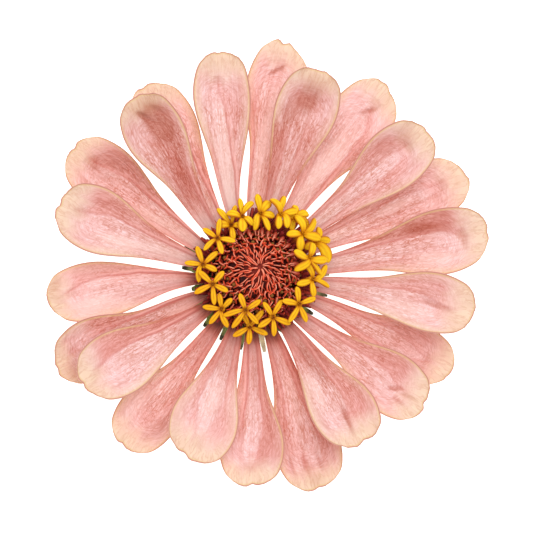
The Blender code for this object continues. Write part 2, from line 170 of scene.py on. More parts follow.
# Lengthwise grooves of each ray, by its number: side of the groove that its flank lies on (-1
# left, 1 right), its course as (part of the length, sideways place) points from the base up, how
# dark its line is, and how rosy and how shaded the flank between it and the blade's edge is
Groove = namedtuple("Groove", "side course line rose shade")
GROOVES = {
    1: [
        (-1, [(0.05, -0.75), (0.4, -0.68), (0.75, -0.6)], 0.55, 0.55, 0),
        (1, [(0.1, 0.5), (0.5, 0.35), (0.8, 0.1)], 0.2, 0, 0),
    ],
    2: [
        (-1, [(0.1, -0.45), (0.4, -0.35), (0.65, -0.3)], 0.4, 0.6, 0.25),
        (1, [(0.1, 0.42), (0.4, 0.3), (0.7, 0.2)], 0.4, 0.3, 0.05),
    ],
    3: [
        (1, [(0.1, 0.75), (0.3, 0.7), (0.55, 0.5), (0.75, 0.35), (0.87, 0.05)], 0.6, 0.4, 0.3),
        (-1, [(0.1, -0.55), (0.5, -0.55)], 0.35, 0.15, 0),
    ],
    4: [
        (-1, [(0.1, -0.62), (0.3, -0.55), (0.6, -0.35), (0.86, -0.08)], 0.5, 0.35, 0.25),
        (1, [(0.1, 0.6), (0.3, 0.52), (0.6, 0.38), (0.86, 0.08)], 0.4, 0.3, 0),
    ],
    5: [
        (-1, [(0.1, -0.55), (0.3, -0.46), (0.6, -0.3), (0.86, -0.06)], 0.5, 0.3, 0.08),
        (1, [(0.1, 0.65), (0.3, 0.56), (0.6, 0.4), (0.85, 0.15)], 0.4, 0.1, 0),
    ],
    6: [
        (-1, [(0.1, -0.65), (0.3, -0.6), (0.6, -0.45), (0.8, -0.3), (0.89, -0.05)], 0.6, 0.6, 0.5),
        (1, [(0.05, 0.5), (0.5, 0.5)], 0.35, 0.1, 0),
    ],
    7: [
        (-1, [(0.1, -0.6), (0.3, -0.48), (0.5, -0.32), (0.7, -0.23), (0.88, 0.05)], 0.5, 0.4, 0.2),
        (1, [(0.1, 0.45), (0.45, 0.5)], 0.3, 0.1, 0),
    ],
    8: [
        (-1, [(0.1, -0.55), (0.3, -0.5), (0.6, -0.35), (0.86, 0)], 0.6, 0.35, 0.05),
        (1, [(0.1, 0.6), (0.3, 0.54), (0.5, 0.5), (0.75, 0.35), (0.88, 0.05)], 0.5, 0.3, 0.25),
    ],
    9: [
        (-1, [(0.1, -0.45), (0.5, -0.36), (0.7, -0.3), (0.86, -0.05)], 0.6, 0.5, 0.3),
        (1, [(0.1, 0.45), (0.45, 0.5)], 0.3, 0.15, 0),
    ],
    10: [
        (-1, [(0.1, -0.4), (0.5, -0.25), (0.75, -0.18), (0.9, 0.1)], 0.5, 0.5, 0.12),
        (1, [(0.1, 0.35), (0.4, 0.4)], 0.4, 0.1, 0), (1, [(0.1, 0.65), (0.35, 0.62)], 0.4, 0.2, 0),
    ],
    11: [
        (-1, [(0.1, -0.42), (0.5, -0.38), (0.8, -0.35)], 0.5, 0.6, 0.4),
        (1, [(0.1, 0.55), (0.5, 0.5), (0.8, 0.45)], 0.4, 0.3, 0.25),
    ],
    12: [
        (-1, [(0.1, -0.5), (0.5, -0.45), (0.8, -0.2), (0.9, 0)], 0.5, 0.5, 0.3),
        (1, [(0.1, 0.45), (0.5, 0.35), (0.8, 0.3)], 0.7, 0.3, 0),
    ],
    13: [
        (-1, [(0.1, -0.42), (0.6, -0.4), (0.85, -0.1)], 0.35, 0.4, 0),
        (1, [(0.1, 0.48), (0.6, 0.45), (0.85, 0.1)], 0.4, 0.6, 0),
    ],
    14: [
        (-1, [(0.1, -0.5), (0.6, -0.4), (0.8, -0.35)], 0.35, 0.1, 0.25),
        (1, [(0.1, 0.5), (0.6, 0.5), (0.85, 0.2)], 0.5, 0.15, 0),
    ],
    15: [
        (1, [(0.1, 0.4), (0.4, 0.35), (0.7, 0.35), (0.86, 0.2)], 0.8, 0.75, 0.25),
        (-1, [(0.1, -0.5), (0.35, -0.5)], 0.35, 0.1, 0),
        (-1, [(0.1, -0.28), (0.3, -0.3)], 0.3, 0, 0),
    ],
    16: [(1, [(0.1, 0.5), (0.3, 0.49), (0.5, 0.45), (0.78, 0.28)], 0.8, 0.75, 0)],
    17: [
        (1, [(0.05, 0.8), (0.3, 0.62), (0.6, 0.45), (0.8, 0.3), (0.88, 0.1)], 0.8, 0.45, 0.15),
        (-1, [(0.1, -0.42), (0.6, -0.4)], 0.3, 0.05, 0),
        (-1, [(0.1, -0.72), (0.5, -0.7)], 0.3, 0.1, 0),
    ],
    18: [
        (1, [(0.1, 0.53), (0.4, 0.42), (0.7, 0.3), (0.87, 0.1)], 0.65, 0.6, 0.2),
        (-1, [(0.1, -0.5), (0.5, -0.5)], 0.25, 0.05, 0),
    ],
    19: [
        (1, [(0.1, 0.75), (0.3, 0.65), (0.5, 0.5), (0.7, 0.33), (0.87, 0.1)], 0.8, 0.45, 0.12),
        (-1, [(0.1, -0.6), (0.5, -0.55)], 0.35, 0.2, 0),
    ],
    20: [
        (1, [(0.1, 0.62), (0.5, 0.6)], 0.5, 0.6, 0.1),
        (-1, [(0.1, -0.45), (0.6, -0.3)], 0.25, 0, 0),
    ],
    21: [(1, [(0.15, 0.65), (0.35, 0.53), (0.6, 0.35)], 0.75, 0.6, 0)],
    22: [
        (1, [(0.1, 0.75), (0.3, 0.6), (0.5, 0.32), (0.7, 0.15), (0.85, -0.08)], 0.7, 0.25, 0.2),
        (-1, [(0.1, -0.6), (0.3, -0.65), (0.55, -0.7)], 0.4, 0.7, 0),
    ],
}
GROOVE_WIDTH = 0.19
GROOVE_DEPTH = 0.1

# The bright band beside a groove's line: how far from the line its middle is, and its width
GLINT_GAP = 0.42
GLINT_WIDTH = 0.22

# How high the middle of a blade swells between its grooves
PANEL_CROWN = 0.22

# Soft patches of each ray, by its number: part of the length, sideways place, half length and
# half width in millimetres, lean of the long way to the right in degrees, how rosy, how shaded
# (lightened where negative), and depth
Patch = namedtuple("Patch", "t v length width lean rose shade depth")
PATCHES = {
    1: [
        (0.9, -0.15, 0.8, 1.5, 0, 0.1, 0.2, 0.1), (0.55, 0.1, 8, 1.5, 0, 0, -0.5, 0),
        (0.86, -0.15, 1.5, 0.4, 50, 0.2, 0.95, 0.3),
    ],
    2: [
        (0.84, 0, 1.9, 2.2, 0, 0.1, 0.6, 0.3), (0.76, -0.4, 3.2, 1.8, 12, 0.15, 0.6, 0),
        (0.8, 0.08, 2, 0.8, 12, 0, 0.5, 0.25), (0.93, 0, 1.5, 3, 0, 0, 0.45, 0),
        (0.12, 0, 3.5, 1, 0, 0, -0.6, 0),
    ],
    3: [
        (0.9, 0.05, 0.6, 1.4, 0, 0, 0.25, 0.2), (0.8, 0.55, 3, 1.4, 0, -0.3, -0.35, 0),
        (0.4, 0.55, 3.6, 0.9, 0, 0.1, 0.35, 0), (0.855, 0.05, 1.7, 0.45, 40, 0.2, 0.8, 0.3),
        (0.5, 0, 7, 2, 0, -0.2, -0.5, 0),
    ],
    4: [
        (0.9, -0.4, 1.6, 2.4, 0, 0, 0.45, 0), (0.875, 0, 0.6, 1.5, 0, 0.1, 0.4, 0.25),
        (0.8, -0.5, 2.8, 1.5, 15, 0, 0.4, 0), (0.12, -0.2, 3.5, 1, 0, 0, -0.6, 0),
    ],
    5: [
        (0.875, 0, 0.8, 1.4, 0, 0.05, 0.5, 0.3), (0.1, 0, 4, 1, 0, 0, -0.3, 0),
        (0.6, 0, 3.4, 1, 0, 0, -0.4, 0),
    ],
    6: [
        (0.88, 0, 0.7, 1.7, 0, 0.1, 0.55, 0.35), (0.7, -0.55, 4.2, 1.2, 14, 0.15, 0.5, 0),
        (0.72, 0.5, 4.5, 1.5, 0, 0, -0.5, 0),
    ],
    7: [(0.8, 0, 2.6, 0.6, 14, 0.3, 0.65, 0.35), (0.65, 0.45, 5, 1.6, 0, 0, -0.4, 0)],
    8: [
        (0.8, -0.4, 3.6, 1.3, 14, 0.05, 0, 0), (0.94, -0.5, 1.3, 1.4, 0, 0, 0.25, 0),
        (0.86, 0, 0.9, 1.2, 0, 0.05, 0.35, 0.2),
    ],
    9: [
        (0.9, 0, 1.7, 0.35, -8, 0.4, 0.8, 0.2), (0.87, 0.32, 1.3, 0.4, 10, 0.4, 0.5, 0.2),
        (0.81, 0.03, 1.5, 0.5, -40, 0.4, 0.6, 0.25),
    ],
    10: [
        (0.83, 0, 2.6, 0.45, 8, 0.3, 0.9, 0.25), (0.4, 0, 5, 1.9, 0, 0.05, 0.65, 0),
        (0.58, 0.5, 4, 1.2, 0, 0, -0.5, 0),
    ],
    11: [
        (0.86, 0.18, 2, 0.5, 0, 0.5, 0.4, 0.3), (0.86, -0.25, 1.8, 0.4, -5, 0.2, 0.45, 0.2),
        (0.85, 0.6, 1.8, 0.4, 5, 0.2, 0.5, 0.2), (0.5, 0, 7, 1.8, 0, -0.1, -0.3, 0),
        (0.95, 0, 1.2, 1.8, 0, 0.05, 0.5, 0),
    ],
    12: [(0.88, 0, 1, 1.1, 0, 0, 0.3, 0.2), (0.4, -0.6, 5, 1.5, 0, 0.2, 0.3, 0)],
    13: [
        (0.88, -0.05, 1, 1.2, 0, 0, 0.25, 0.15), (0.3, 0, 6, 3, 0, 0.1, 0.45, 0),
        (0.75, 0.6, 4, 1.4, 0, -0.6, 0, 0), (0.55, 0, 6, 1.6, 0, 0, -0.4, 0),
    ],
    14: [
        (0.82, -0.5, 2.8, 1.3, 8, 0, 0.5, 0.2), (0.8, 0, 2.4, 1.3, 0, 0.25, 0, 0),
        (0.78, 0.55, 3, 1.5, 0, -0.2, -0.4, 0), (0.62, 0.45, 3.6, 1.2, 0, 0, -0.4, 0),
    ],
    15: [(0.87, 0.15, 1.2, 0.8, -15, 0.1, 0.25, 0.2), (0.95, 0, 1.5, 1.5, 0, 0.15, 0.2, 0)],
    16: [
        (0.85, 0.3, 1.9, 0.7, -20, 0.35, 0.1, 0.2), (0.95, -0.3, 1.4, 1.8, 0, 0, 0.4, 0),
        (0.24, 0.55, 4, 1, 0, 0.1, 0.4, 0), (0.2, 0.5, 4, 1.5, 0, 0.2, 0.4, 0),
        (0.2, -0.5, 4, 1.5, 0, 0, -0.4, 0), (0.76, 0.5, 4, 1.5, 0, -0.2, -0.3, 0),
    ],
    17: [
        (0.85, 0.1, 1.4, 0.8, -20, 0.1, 0.3, 0.25), (0.94, 0.6, 1.5, 1.2, 0, 0, 0.75, 0),
        (0.75, -0.5, 4.5, 1.6, 0, 0, -0.5, 0), (0.95, 0, 1.5, 1.8, 0, 0, 0.4, 0),
    ],
    18: [
        (0.86, 0.05, 1.3, 0.9, -20, 0.1, 0.4, 0.25), (0.72, 0.65, 3.2, 0.9, -8, 0.1, 0.35, 0),
        (0.35, -0.4, 6, 1.2, 0, 0, -0.4, 0), (0.6, -0.4, 3.6, 1.2, 0, 0, -0.5, 0),
    ],
    19: [
        (0.86, 0.1, 1.5, 1, -15, 0.1, 0.45, 0.3), (0.8, 0.5, 3.4, 1.7, -10, 0, 0.6, 0),
        (0.8, 0, 3, 1.3, 0, 0.1, 0.35, 0), (0.4, -0.5, 5, 1.6, 0, -0.2, -0.4, 0),
    ],
    20: [
        (0.88, 0.02, 1.4, 0.5, -35, 0.1, 0.7, 0.35), (0.88, 0.5, 1.4, 0.5, -35, 0.1, 0.7, 0.3),
        (0.8, 0.45, 3.4, 2.4, 0, 0, 0.75, 0), (0.94, 0.2, 1.6, 3.4, 0, 0, 0.6, 0),
        (0.84, 0.35, 3, 2.2, 0, 0, 0.5, 0), (0.89, -0.02, 1.6, 0.4, -40, 0, 0.6, 0.2),
        (0.37, 0.15, 8.5, 1.4, 0, 0.7, 0.3, 0.3), (0.16, 0, 4.5, 1.4, 0, -0.2, -0.5, 0),
        (0.7, -0.65, 4, 1.5, 0, 0, -0.1, 0), (0.62, 0.5, 5, 1.3, 6, 0.25, 0.2, 0),
    ],
    21: [(0.87, 0.05, 1.4, 1, 20, 0.1, 0.5, 0.25)],
    22: [
        (0.86, -0.1, 0.8, 1, 0, 0.1, 0.4, 0.2), (0.18, -0.2, 5, 1.2, 0, 0, -0.6, 0),
        (0.94, 0, 1.6, 3, 0, 0, -0.6, 0), (0.45, 0.1, 8, 2.4, 0, 0, -0.45, 0),
    ],
}

# An open disc floret: azimuth, distance and height of its star's centre, and its five lobes, each
# with its bearing, reach, lift of the tip, swing of the bearing at the root, arch and width. The
# last three are left out where they are the usual ones.
Floret = namedtuple("Floret", "azimuth radius height lobes")
Lobe = namedtuple("Lobe", "bearing reach lift swing arch wide", defaults=(0, 0.35, 1.0))
FLORETS = [Floret(*values) for values in (
    (3, 10.1, 18.2, [
        (348, 3.5, 0.9, 0, 0.6, 1.2), (36, 2.8, 0.3, 0, 0.9, 1.2), (100, 2.5, 0, 0, 0.7, 1.1),
        (153, 3.4, -0.3, 0, 0.3, 1), (200, 3.2, -0.4, 65, 0.7, 1.15)]),
    (21.8, 10.6, 19.2, [
        (11, 3.4, 0.9, 0, 0.5, 1), (76, 3.1, 0.2, 0, 0.7, 1.2), (150, 2.6, -0.3, -50, 0.5, 1.1),
        (190, 2.6, -0.3, 30, 0.4, 1.1), (327, 3.2, 0.4, 0, 0.9, 1.35)]),
    (36, 12, 16.5, [
        (65, 2.6, 0.4, 0, 1, 1.1), (130, 2.9, 0, -60, 0.8, 1), (200, 2.3, 0, 0, 0.4, 1),
        (300, 2.1, 0.3, 0, 0.9, 1.2), (358, 2.4, 0.6, 0, 0.7, 1.1)]),
    (50.4, 10.5, 18.2, [
        (41, 3.7, 0.4, 0, 1, 1), (102, 3.4, 0.1, 0, 0.6, 1.15), (189, 3.1, -0.4, 0, 0.4, 1),
        (264, 2.9, -0.1, 0, 0.5, 1), (337, 3.5, 0.4, 0, 0.8, 1.3)]),
    (63, 11.9, 16.5, [
        (15, 3, 0.5, 0, 0.7, 1.1), (78, 2.9, 0.4, 0, 0.8, 1.1), (142, 4.2, 0.1, 0, 0.7, 1.4),
        (240, 2.3, 0.3, 0, 0.5, 1), (301, 2.4, 0.4, 0, 0.6, 1)]),
    (76.5, 9.5, 19.2, [
        (9, 2.6, 0.4, 0, 0.8, 1.2), (95, 3.2, 0.2, 0, 0.7, 1.15), (144, 3.6, -0.2, 0, 0.5, 1.1),
        (228, 3.7, -0.4, 0, 0.35, 1), (289, 3.1, -0.1, 0, 0.4, 1.05)]),
    (98.5, 10, 18.2, [
        (45, 3.8, 0.2, 40), (110, 3.5, 0), (175, 3.2, 0), (249, 3.2, 0), (335, 3.4, 0.2)]),
    (130.5, 9.6, 19.2, [
        (68, 3.3, 0), (153, 3.5, -0.2), (208, 3.7, -0.2), (278, 3.2, 0, 10), (349, 3.1, 0.1)]),
    (162, 9, 18.2, [
        (25, 3.4, 0, -15), (109, 3.4, 0), (174, 3.4, -0.2), (235, 3.2, 0), (324, 3.2, 0)]),
    (186.5, 10.2, 16.6, [
        (38, 3.8, 0), (111, 3.5, 0), (181, 3.1, -0.2), (239, 3.4, 0), (329, 2.9, 0.6)]),
    (197, 8, 19.2, [
        (55, 3.2, 0), (135, 3.3, 0), (215, 3.9, -0.5), (255, 4.1, -0.3, 15), (339, 3.1, 0)]),
    (221, 9.8, 18.2, [
        (43, 2.6, 0.3), (161, 3.4, -0.2, 30), (219, 3.4, -0.2), (276, 3.4, 0), (349, 2.8, 0.2)]),
    (249, 8.8, 19.2, [
        (41, 3, 0.1), (115, 3, 0), (175, 3.7, -0.2), (243, 3.6, -0.2), (313, 3.4, 0)]),
    (273, 9.8, 18.2, [
        (48, 3.5, 0), (115, 2.7, 0), (195, 3.2, -0.3, 45), (276, 3.3, 0), (341, 3.5, 0.2)]),
    (305, 9, 19.2, [
        (7, 3.6, 0.3), (101, 3.2, 0), (164, 3, -0.1), (228, 3.3, 0, 15), (304, 3.1, 0.3)]),
    (329, 9.2, 17.9, [
        (13, 3.8, 0.4, 0, 0.9, 1), (100, 2.4, 0, 0, 0.8, 1.2), (173, 2.9, -0.3, 0, 0.5, 1.1),
        (266, 2.6, 0.1, 0, 0.8, 1.35), (321, 3.9, 0.5, 0, 0.6, 1.1)]),
    (342.5, 9.7, 19.2, [
        (35, 3.4, 0.2, -35, 1.1, 1), (130, 2.3, -0.2, 0, 0.8, 1.1), (180, 2.7, -0.3, 0, 0.4, 1.6),
        (281, 2.8, 0, 0, 0.8, 1.25), (351, 3.3, 0.7, 0, 0.5, 1)]),
)]
FLORET_LEAN = 12.0
FLORET_SEAT_RADIUS = 7.4
FLORET_SEAT_HEIGHT = 13.15
CROWDED_AZIMUTH = 55.0
LOBE_ROOT = 0.3
LOBE_SINK = 0.12
LOBE_HALF_WIDTH = [
    (0.0, 0.2), (0.15, 0.33), (0.4, 0.46), (0.63, 0.51), (0.82, 0.43), (0.93, 0.29), (1.0, 0.09),
]
LOBE_BLUNT_WIDTH = 0.55
LOBE_THICKNESS = 0.5
LOBE_GROOVE = 0.35

# How far a lobe's root swings and its blade rolls at random where the ring is most crowded
LOBE_DISORDER = 45.0
TUBE_RADIUS = 0.42
THROAT_FLARE = 0.2
ANTHERS = 5
ANTHER_HALF_WIDTH = 0.09
ANTHER_HALF_DEPTH = 0.07

# The cone's core, as (radius, height) from its apex down, and the surface that its scales grow
# from, as height at each radius
CORE_SIDE = [
    (0.0, 20.2), (1.5, 19.85), (2.8, 19.2), (4.0, 18.4), (5.1, 17.5), (6.0, 16.6), (6.5, 15.8),
    (6.6, 14.9), (6.4, 14.0),
]
SCALE_GROUND = [
    (0.0, 20.5), (1.5, 20.2), (2.8, 19.6), (4.0, 18.8), (5.1, 17.9), (6.0, 17.1), (7.0, 16.1),
    (8.0, 15.0), (9.0, 13.9),
]

# Rings of blades in the cone's middle: count, radius at the inner and outer end, and extra height
INNER_BLADES = [(14, 0.5, 2.5, 0.35), (20, 1.6, 3.6, 0.2), (27, 2.7, 4.9, 0.0)]

# Half width and half depth of such a blade at its inner end, and how much each grows outwards
INNER_HALF_WIDTH = 0.13
INNER_WIDENING = 0.11
INNER_HALF_DEPTH = 0.35
INNER_DEEPENING = 0.4

# Small blades that lie low between the others, from LOW_BLADE_START to a run further out
LOW_BLADES = 80
LOW_BLADE_START = 1.2
LOW_BLADE_RUN = 6.0
LOW_BLADE_HALF_WIDTH = 0.12
LOW_BLADE_HALF_DEPTH = 0.35

# Forked scales, laid spirally from SCALE_START out; from BUD_START on a bud stands beside each.
# The half widths and half depths are those of a scale's stem and of its arms, at the fork.
SCALES = 150
SCALE_START = 3.6
SCALE_END = 8.6
BUD_START = 4.2
FORK_HEIGHT = 0.45
FORK_STEM_HALF_WIDTH = 0.23
FORK_STEM_HALF_DEPTH = 0.55
FORK_ARM_HALF_WIDTH = 0.21
FORK_ARM_HALF_DEPTH = 0.45

# Broad flaps on the cone's far side: where they stand, how far out and how high one starts, how
# long it is, and how much it comes down towards its inner end
FLAP_AZIMUTHS = [-38, -24, -12, -2, 8, 17, 27, 38, 50, 64, 78, 92]
FLAP_OUT = 1.7
FLAP_HEIGHT = 1.1
FLAP_LENGTH = 2.4
FLAP_DROP = 0.5

# Where the random draws of the cone's core, tips, ring and low blades start
CORE_SEED = 7
TIPS_SEED = 11
RING_SEED = 23
LOW_BLADES_SEED = 29

# Rings of upright chaff round the florets' tubes: count, radius and height where it grows and
# where it ends, half width, and how much painted shade darkens it under the florets
ChaffRing = namedtuple("ChaffRing", "count low_radius low high_radius high half_width dark")
CHAFF_RINGS = [
    ChaffRing(34, 6.8, 13.2, 7.6, 16.3, 0.6, 0.1),
    ChaffRing(40, 7.3, 13.0, 8.7, 16.2, 0.6, 0.2),
    ChaffRing(46, 7.8, 12.8, 9.8, 15.8, 0.6, 0.3),
    ChaffRing(64, 8.0, 12.4, 10.8, 15.0, 0.55, 0.5),
    ChaffRing(72, 8.2, 12.0, 12.0, 13.8, 0.5, 0.8),
]

# A bract: its azimuth, how much further out its end lies, and how pale that end is
Bract = namedtuple("Bract", "azimuth extra pale")
BRACTS = [Bract(*values) for values in (
    (7, 0, 0), (30, 0, 0), (54, 0, 0), (70, 0.8, 0.2), (85.5, 1.9, 0.8), (100.5, 1.5, 0.2),
    (118.5, 0.4, 0), (146, 0, 0), (169, 1, 0.9), (187, 0, 0.1), (205, 0, 0.1), (223, -0.9, 0),
    (240, -0.6, 0), (258, -2.4, 0), (277, -0.2, 0.1), (296, 0, 0), (318, 0, 0), (342, 0, 0),
)]
INNER_BRACT_PATH = [
    (3.85, 2.4), (5.3, 3.85), (6.95, 5.6), (8.1, 7.6), (8.85, 9.1), (9.9, 9.85), (11.3, 10.1),
    (12.7, 10.0),
]
OUTER_BRACT_PATH = [
    (4.45, 1.85), (5.9, 3.25), (7.6, 5.05), (8.85, 7.2), (9.65, 8.5), (10.6, 9.05), (11.9, 9.25),
    (13.1, 9.1),
]
BRACT_OUTLINE = [
    (0.0, 1.0), (0.25, 1.45), (0.5, 1.8), (0.67, 1.15), (0.8, 0.5), (0.92, 0.38), (1.0, 0.22),
]
BRACT_THICKNESS = 0.4
BRACT_ROWS = 26
BRACT_COLUMNS = 9

# Short broad bracts at the foot of the cup: how many to a row, the row's first azimuth, and a path
LowRow = namedtuple("LowRow", "count first path")
LOW_BRACT_ROWS = [
    LowRow(11, 9.0, [(2.8, 1.4), (4.0, 1.45), (5.2, 2.05), (6.4, 3.1), (7.5, 4.3), (8.25, 5.6)]),
    LowRow(9, 24.0, [(2.7, 1.15), (3.6, 1.05), (4.6, 1.35), (5.5, 2.0), (6.3, 2.8), (6.9, 3.5)]),
]
LOW_BRACT_OUTLINE = [(0.0, 0.8), (0.3, 1.25), (0.6, 1.6), (0.8, 1.4), (0.92, 0.95), (1.0, 0.3)]

# The dark rim of a bract: where its end turns dark, how dark its sides get, where they turn dark
# and over what width, where along the bract this starts, and the darkest that the rim gets
BractRim = namedtuple("BractRim", "end share side side_run start most")
UPPER_RIM = BractRim(0.84, 0.6, 0.8, 0.2, 0.4, 1.0)
LOW_RIM = BractRim(0.9, 0.5, 0.85, 0.15, 0.5, 0.95)

RECEPTACLE_SECTION = [
    (0.0, 0.0), (2.9, 0.0), (3.0, 0.1), (3.0, 1.8), (3.4, 2.8), (4.9, 4.3), (6.5, 6.0), (7.6, 7.9),
    (8.2, 9.8), (8.2, 12.5), (7.7, 12.75), (6.7, 13.0), (5.2, 13.8), (3.2, 14.7), (1.6, 15.2),
    (0.0, 15.4),
]
STEM_RIBS = 12
STEM_RIB_HEIGHT = 0.08

FLOOR_SIZE = 4.0
FLOOR_GLOW = 0.75
WORLD_STRENGTH = 0.85
KEY_POWER = 2.45
KEY_SIZE = 0.6
KEY_PLACE = (-0.03, 0.17, 0.70)


def ease(x):
    """A smooth step from 0 at x = 0 to 1 at x = 1."""
    x = np.clip(x, 0.0, 1.0)
    return x * x * (3.0 - 2.0 * x)


def rise(x, start, run):
    """A smooth step from 0 where x is at start to 1 a run later."""
    return ease((x - start) / run)


def fall(x, start, run):
    """A smooth step from 1 where x is at start to 0 a run later."""
    return 1.0 - ease((x - start) / run)


def bump_at(x, width):
    """1 at x = 0, falling smoothly to nothing over about twice the width."""
    return np.exp(-((x / width) ** 2))


def smooth_through(points, t):
    """Values at t of a smooth curve through points, which are (t, value) pairs in order."""
    places, values = np.array(points, float).T
    steps = np.diff(values) / np.diff(places)
    slopes = np.concatenate([steps[:1], 0.5 * (steps[:-1] + steps[1:]), steps[-1:]])
    i = np.clip(np.searchsorted(places, t, side="right") - 1, 0, len(places) - 2)
    run = places[i + 1] - places[i]
    x = (t - places[i]) / run
    rising = (3.0 - 2.0 * x) * x * x
    bends = run * x * (1.0 - x) * ((1.0 - x) * slopes[i] - x * slopes[i + 1])
    return values[i] * (1.0 - rising) + values[i + 1] * rising + bends


def path_at(path, t):
    """Radius and height at a share t of the way along a path of (radius, height) points."""
    knots = np.linspace(0.0, 1.0, len(path))
    return [smooth_through(list(zip(knots, values)), t) for values in zip(*path)]


def noise(x, y, seed):
    """Smooth noise between -1 and 1 that changes over about one unit of x or y."""
    size = 64
    table = np.random.default_rng(seed).uniform(-1.0, 1.0, (size, size))
    i, j = np.floor(x).astype(int), np.floor(y).astype(int)
    fx, fy = ease(x - i), ease(y - j)
    near = table[i % size, j % size] * (1 - fy) + table[i % size, (j + 1) % size] * fy
    far = table[(i + 1) % size, j % size] * (1 - fy) + table[(i + 1) % size, (j + 1) % size] * fy
    return near * (1 - fx) + far * fx


def noise_along(x, seed):
    return noise(x, 0.0 * x, seed)


def layered(x, layers, seed):
    """Layers of noise along x, each with a height and a pitch."""
    return sum(
        height * noise_along(x / pitch, seed + k) for k, (height, pitch) in enumerate(layers)
    )


def direction(azimuth):
    """The horizontal unit vector at an azimuth."""
    a = np.radians(azimuth)
    return np.stack([np.sin(a), np.cos(a), np.zeros_like(a, dtype=float)], -1)


def unit(vectors):
    return vectors / np.linalg.norm(vectors, axis=-1, keepdims=True)


def grid_normals(points):
    return unit(np.cross(np.gradient(points, axis=1), np.gradient(points, axis=0)))


def grid_faces(rows, columns, closed=False):
    """Quads of a grid of points; closed joins the last column to the first."""
    i = np.arange(rows - 1)[:, None] * columns
    j = np.arange(columns if closed else columns - 1)[None, :]
    n = (j + 1) % columns
    quads = np.stack([i + j, i + n, i + columns + n, i + columns + j], -1)
    return quads.reshape(-1, 4)


def shell_faces(rows, columns):
    """Faces of a closed shell whose upper grid of points comes first and its lower grid second."""
    lower = rows * columns
    top = grid_faces(rows, columns)
    index = np.arange(lower).reshape(rows, columns)
    rim = np.concatenate([index[0], index[1:, -1], index[-1, -2::-1], index[-2:0:-1, 0]])
    following = np.roll(rim, -1)
    wall = np.stack([rim, rim + lower, following + lower, following], -1)
    return np.concatenate([top, top[:, ::-1] + lower, wall])


def turned(radii, heights):
    """Points and faces of a turned shape, from a row of radii round the axis at each height."""
    rows, columns = radii.shape
    azimuth = 360.0 * np.arange(columns) / columns
    points = direction(azimuth)[None] * radii[..., None] + UP * heights[:, None, None]
    return points, grid_faces(rows, columns, closed=True)


class Heap:
    """Points, faces and point values of the shapes that are joined into one piece."""

    def __init__(self):
        self.points = []
        self.faces = []
        self.values = []
        self.count = 0

    def add(self, points, faces, **values):
        points = np.asarray(points, float).reshape(-1, 3)
        self.faces += [tuple(int(i) + self.count for i in face) for face in faces]
        self.points.append(points)
        self.values.append({k: np.broadcast_to(v, len(points)) for k, v in values.items()})
        self.count += len(points)

    def add_shell(self, middle, normal, half, under=0.0, **values):
        """Adds a grid of points as a closed shell; under is the lower side's share of "lower"."""
        offset = normal * half[..., None]
        sides = (middle + offset, middle - offset)
        points = np.concatenate([side.reshape(-1, 3) for side in sides])
        both = {name: np.concatenate([value.ravel()] * 2) for name, value in values.items()}
        if under:
            both["lower"] = np.repeat([0.0, under], len(points) // 2)
        self.add(points, shell_faces(*middle.shape[:2])[:, ::-1], **both)

    def value(self, name):
        parts = [v.get(name, np.zeros(len(p))) for p, v in zip(self.points, self.values)]
        return np.concatenate(parts)

    def names(self):
        return sorted({name for values in self.values for name in values})


def add_piece(name, heap, material, replaces=()):
    """Makes one piece of the flower from a heap and lets it ride on the flower's body."""
    mesh = bpy.data.meshes.new(name)
    points = (np.concatenate(heap.points) + AXIS) * MM
    mesh.from_pydata(points.tolist(), [], heap.faces)
    for value_name in heap.names():
        attribute = mesh.attributes.new(value_name, "FLOAT", "POINT")
        attribute.data.foreach_set("value", heap.value(value_name).astype(np.float32))
    mesh.shade_smooth()
    mesh.materials.append(material)
    piece = bpy.data.objects.new(name, mesh)
    bpy.context.scene.collection.objects.link(piece)
    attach(piece, BODY)
    if replaces:
        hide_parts(*replaces)


def round_section(count, groove=0.0):
    """A strip's section of unit radius, with a groove of the given depth along its top."""
    a = 2.0 * math.pi * np.arange(count) / count
    x, z = np.cos(a), np.sin(a)
    return x, z - groove * bump_at(x, 0.35) * (z > 0.1)


# A folded scale's section: a ridge with a flank falling away on each side
FOLDED_SECTION = np.array([
    [1.0, 0.45, 0.0, -0.45, -1.0, 0.0],
    [-1.0, -0.15, 0.0, -0.15, -1.0, -0.75],
])


def sweep(path, side, half_width, half_depth, section):
    """A closed strip along a path: points and faces, and each point's place in it."""
    rows, ring = len(path), len(section[0])
    along = unit(np.gradient(path, axis=0))
    side = side + 0.0 * path
    side = unit(side - along * np.sum(side * along, -1, keepdims=True))
    up = np.cross(side, along)
    x = section[0][None, :] * (np.asarray(half_width) + np.zeros(rows))[:, None]
    z = section[1][None, :] * (np.asarray(half_depth) + np.zeros(rows))[:, None]
    body = path[:, None, :] + side[:, None, :] * x[..., None] + up[:, None, :] * z[..., None]
    points = np.concatenate([body.reshape(-1, 3), body[[0, -1]].mean(1)])
    faces = [tuple(f) for f in grid_faces(rows, ring, closed=True)]
    first_cap, last_cap, last_row = rows * ring, rows * ring + 1, (rows - 1) * ring
    for k in range(ring):
        n = (k + 1) % ring
        faces.append((first_cap, n, k))
        faces.append((last_cap, last_row + k, last_row + n))
    across = np.concatenate([np.tile(section[0], rows), [0.0, 0.0]])
    height = np.concatenate([np.tile(section[1], rows), [-0.5, -0.5]])
    place = np.concatenate([np.repeat(np.linspace(0.0, 1.0, rows), ring), [0.0, 1.0]])
    return points, faces, across, height, place


# Materials

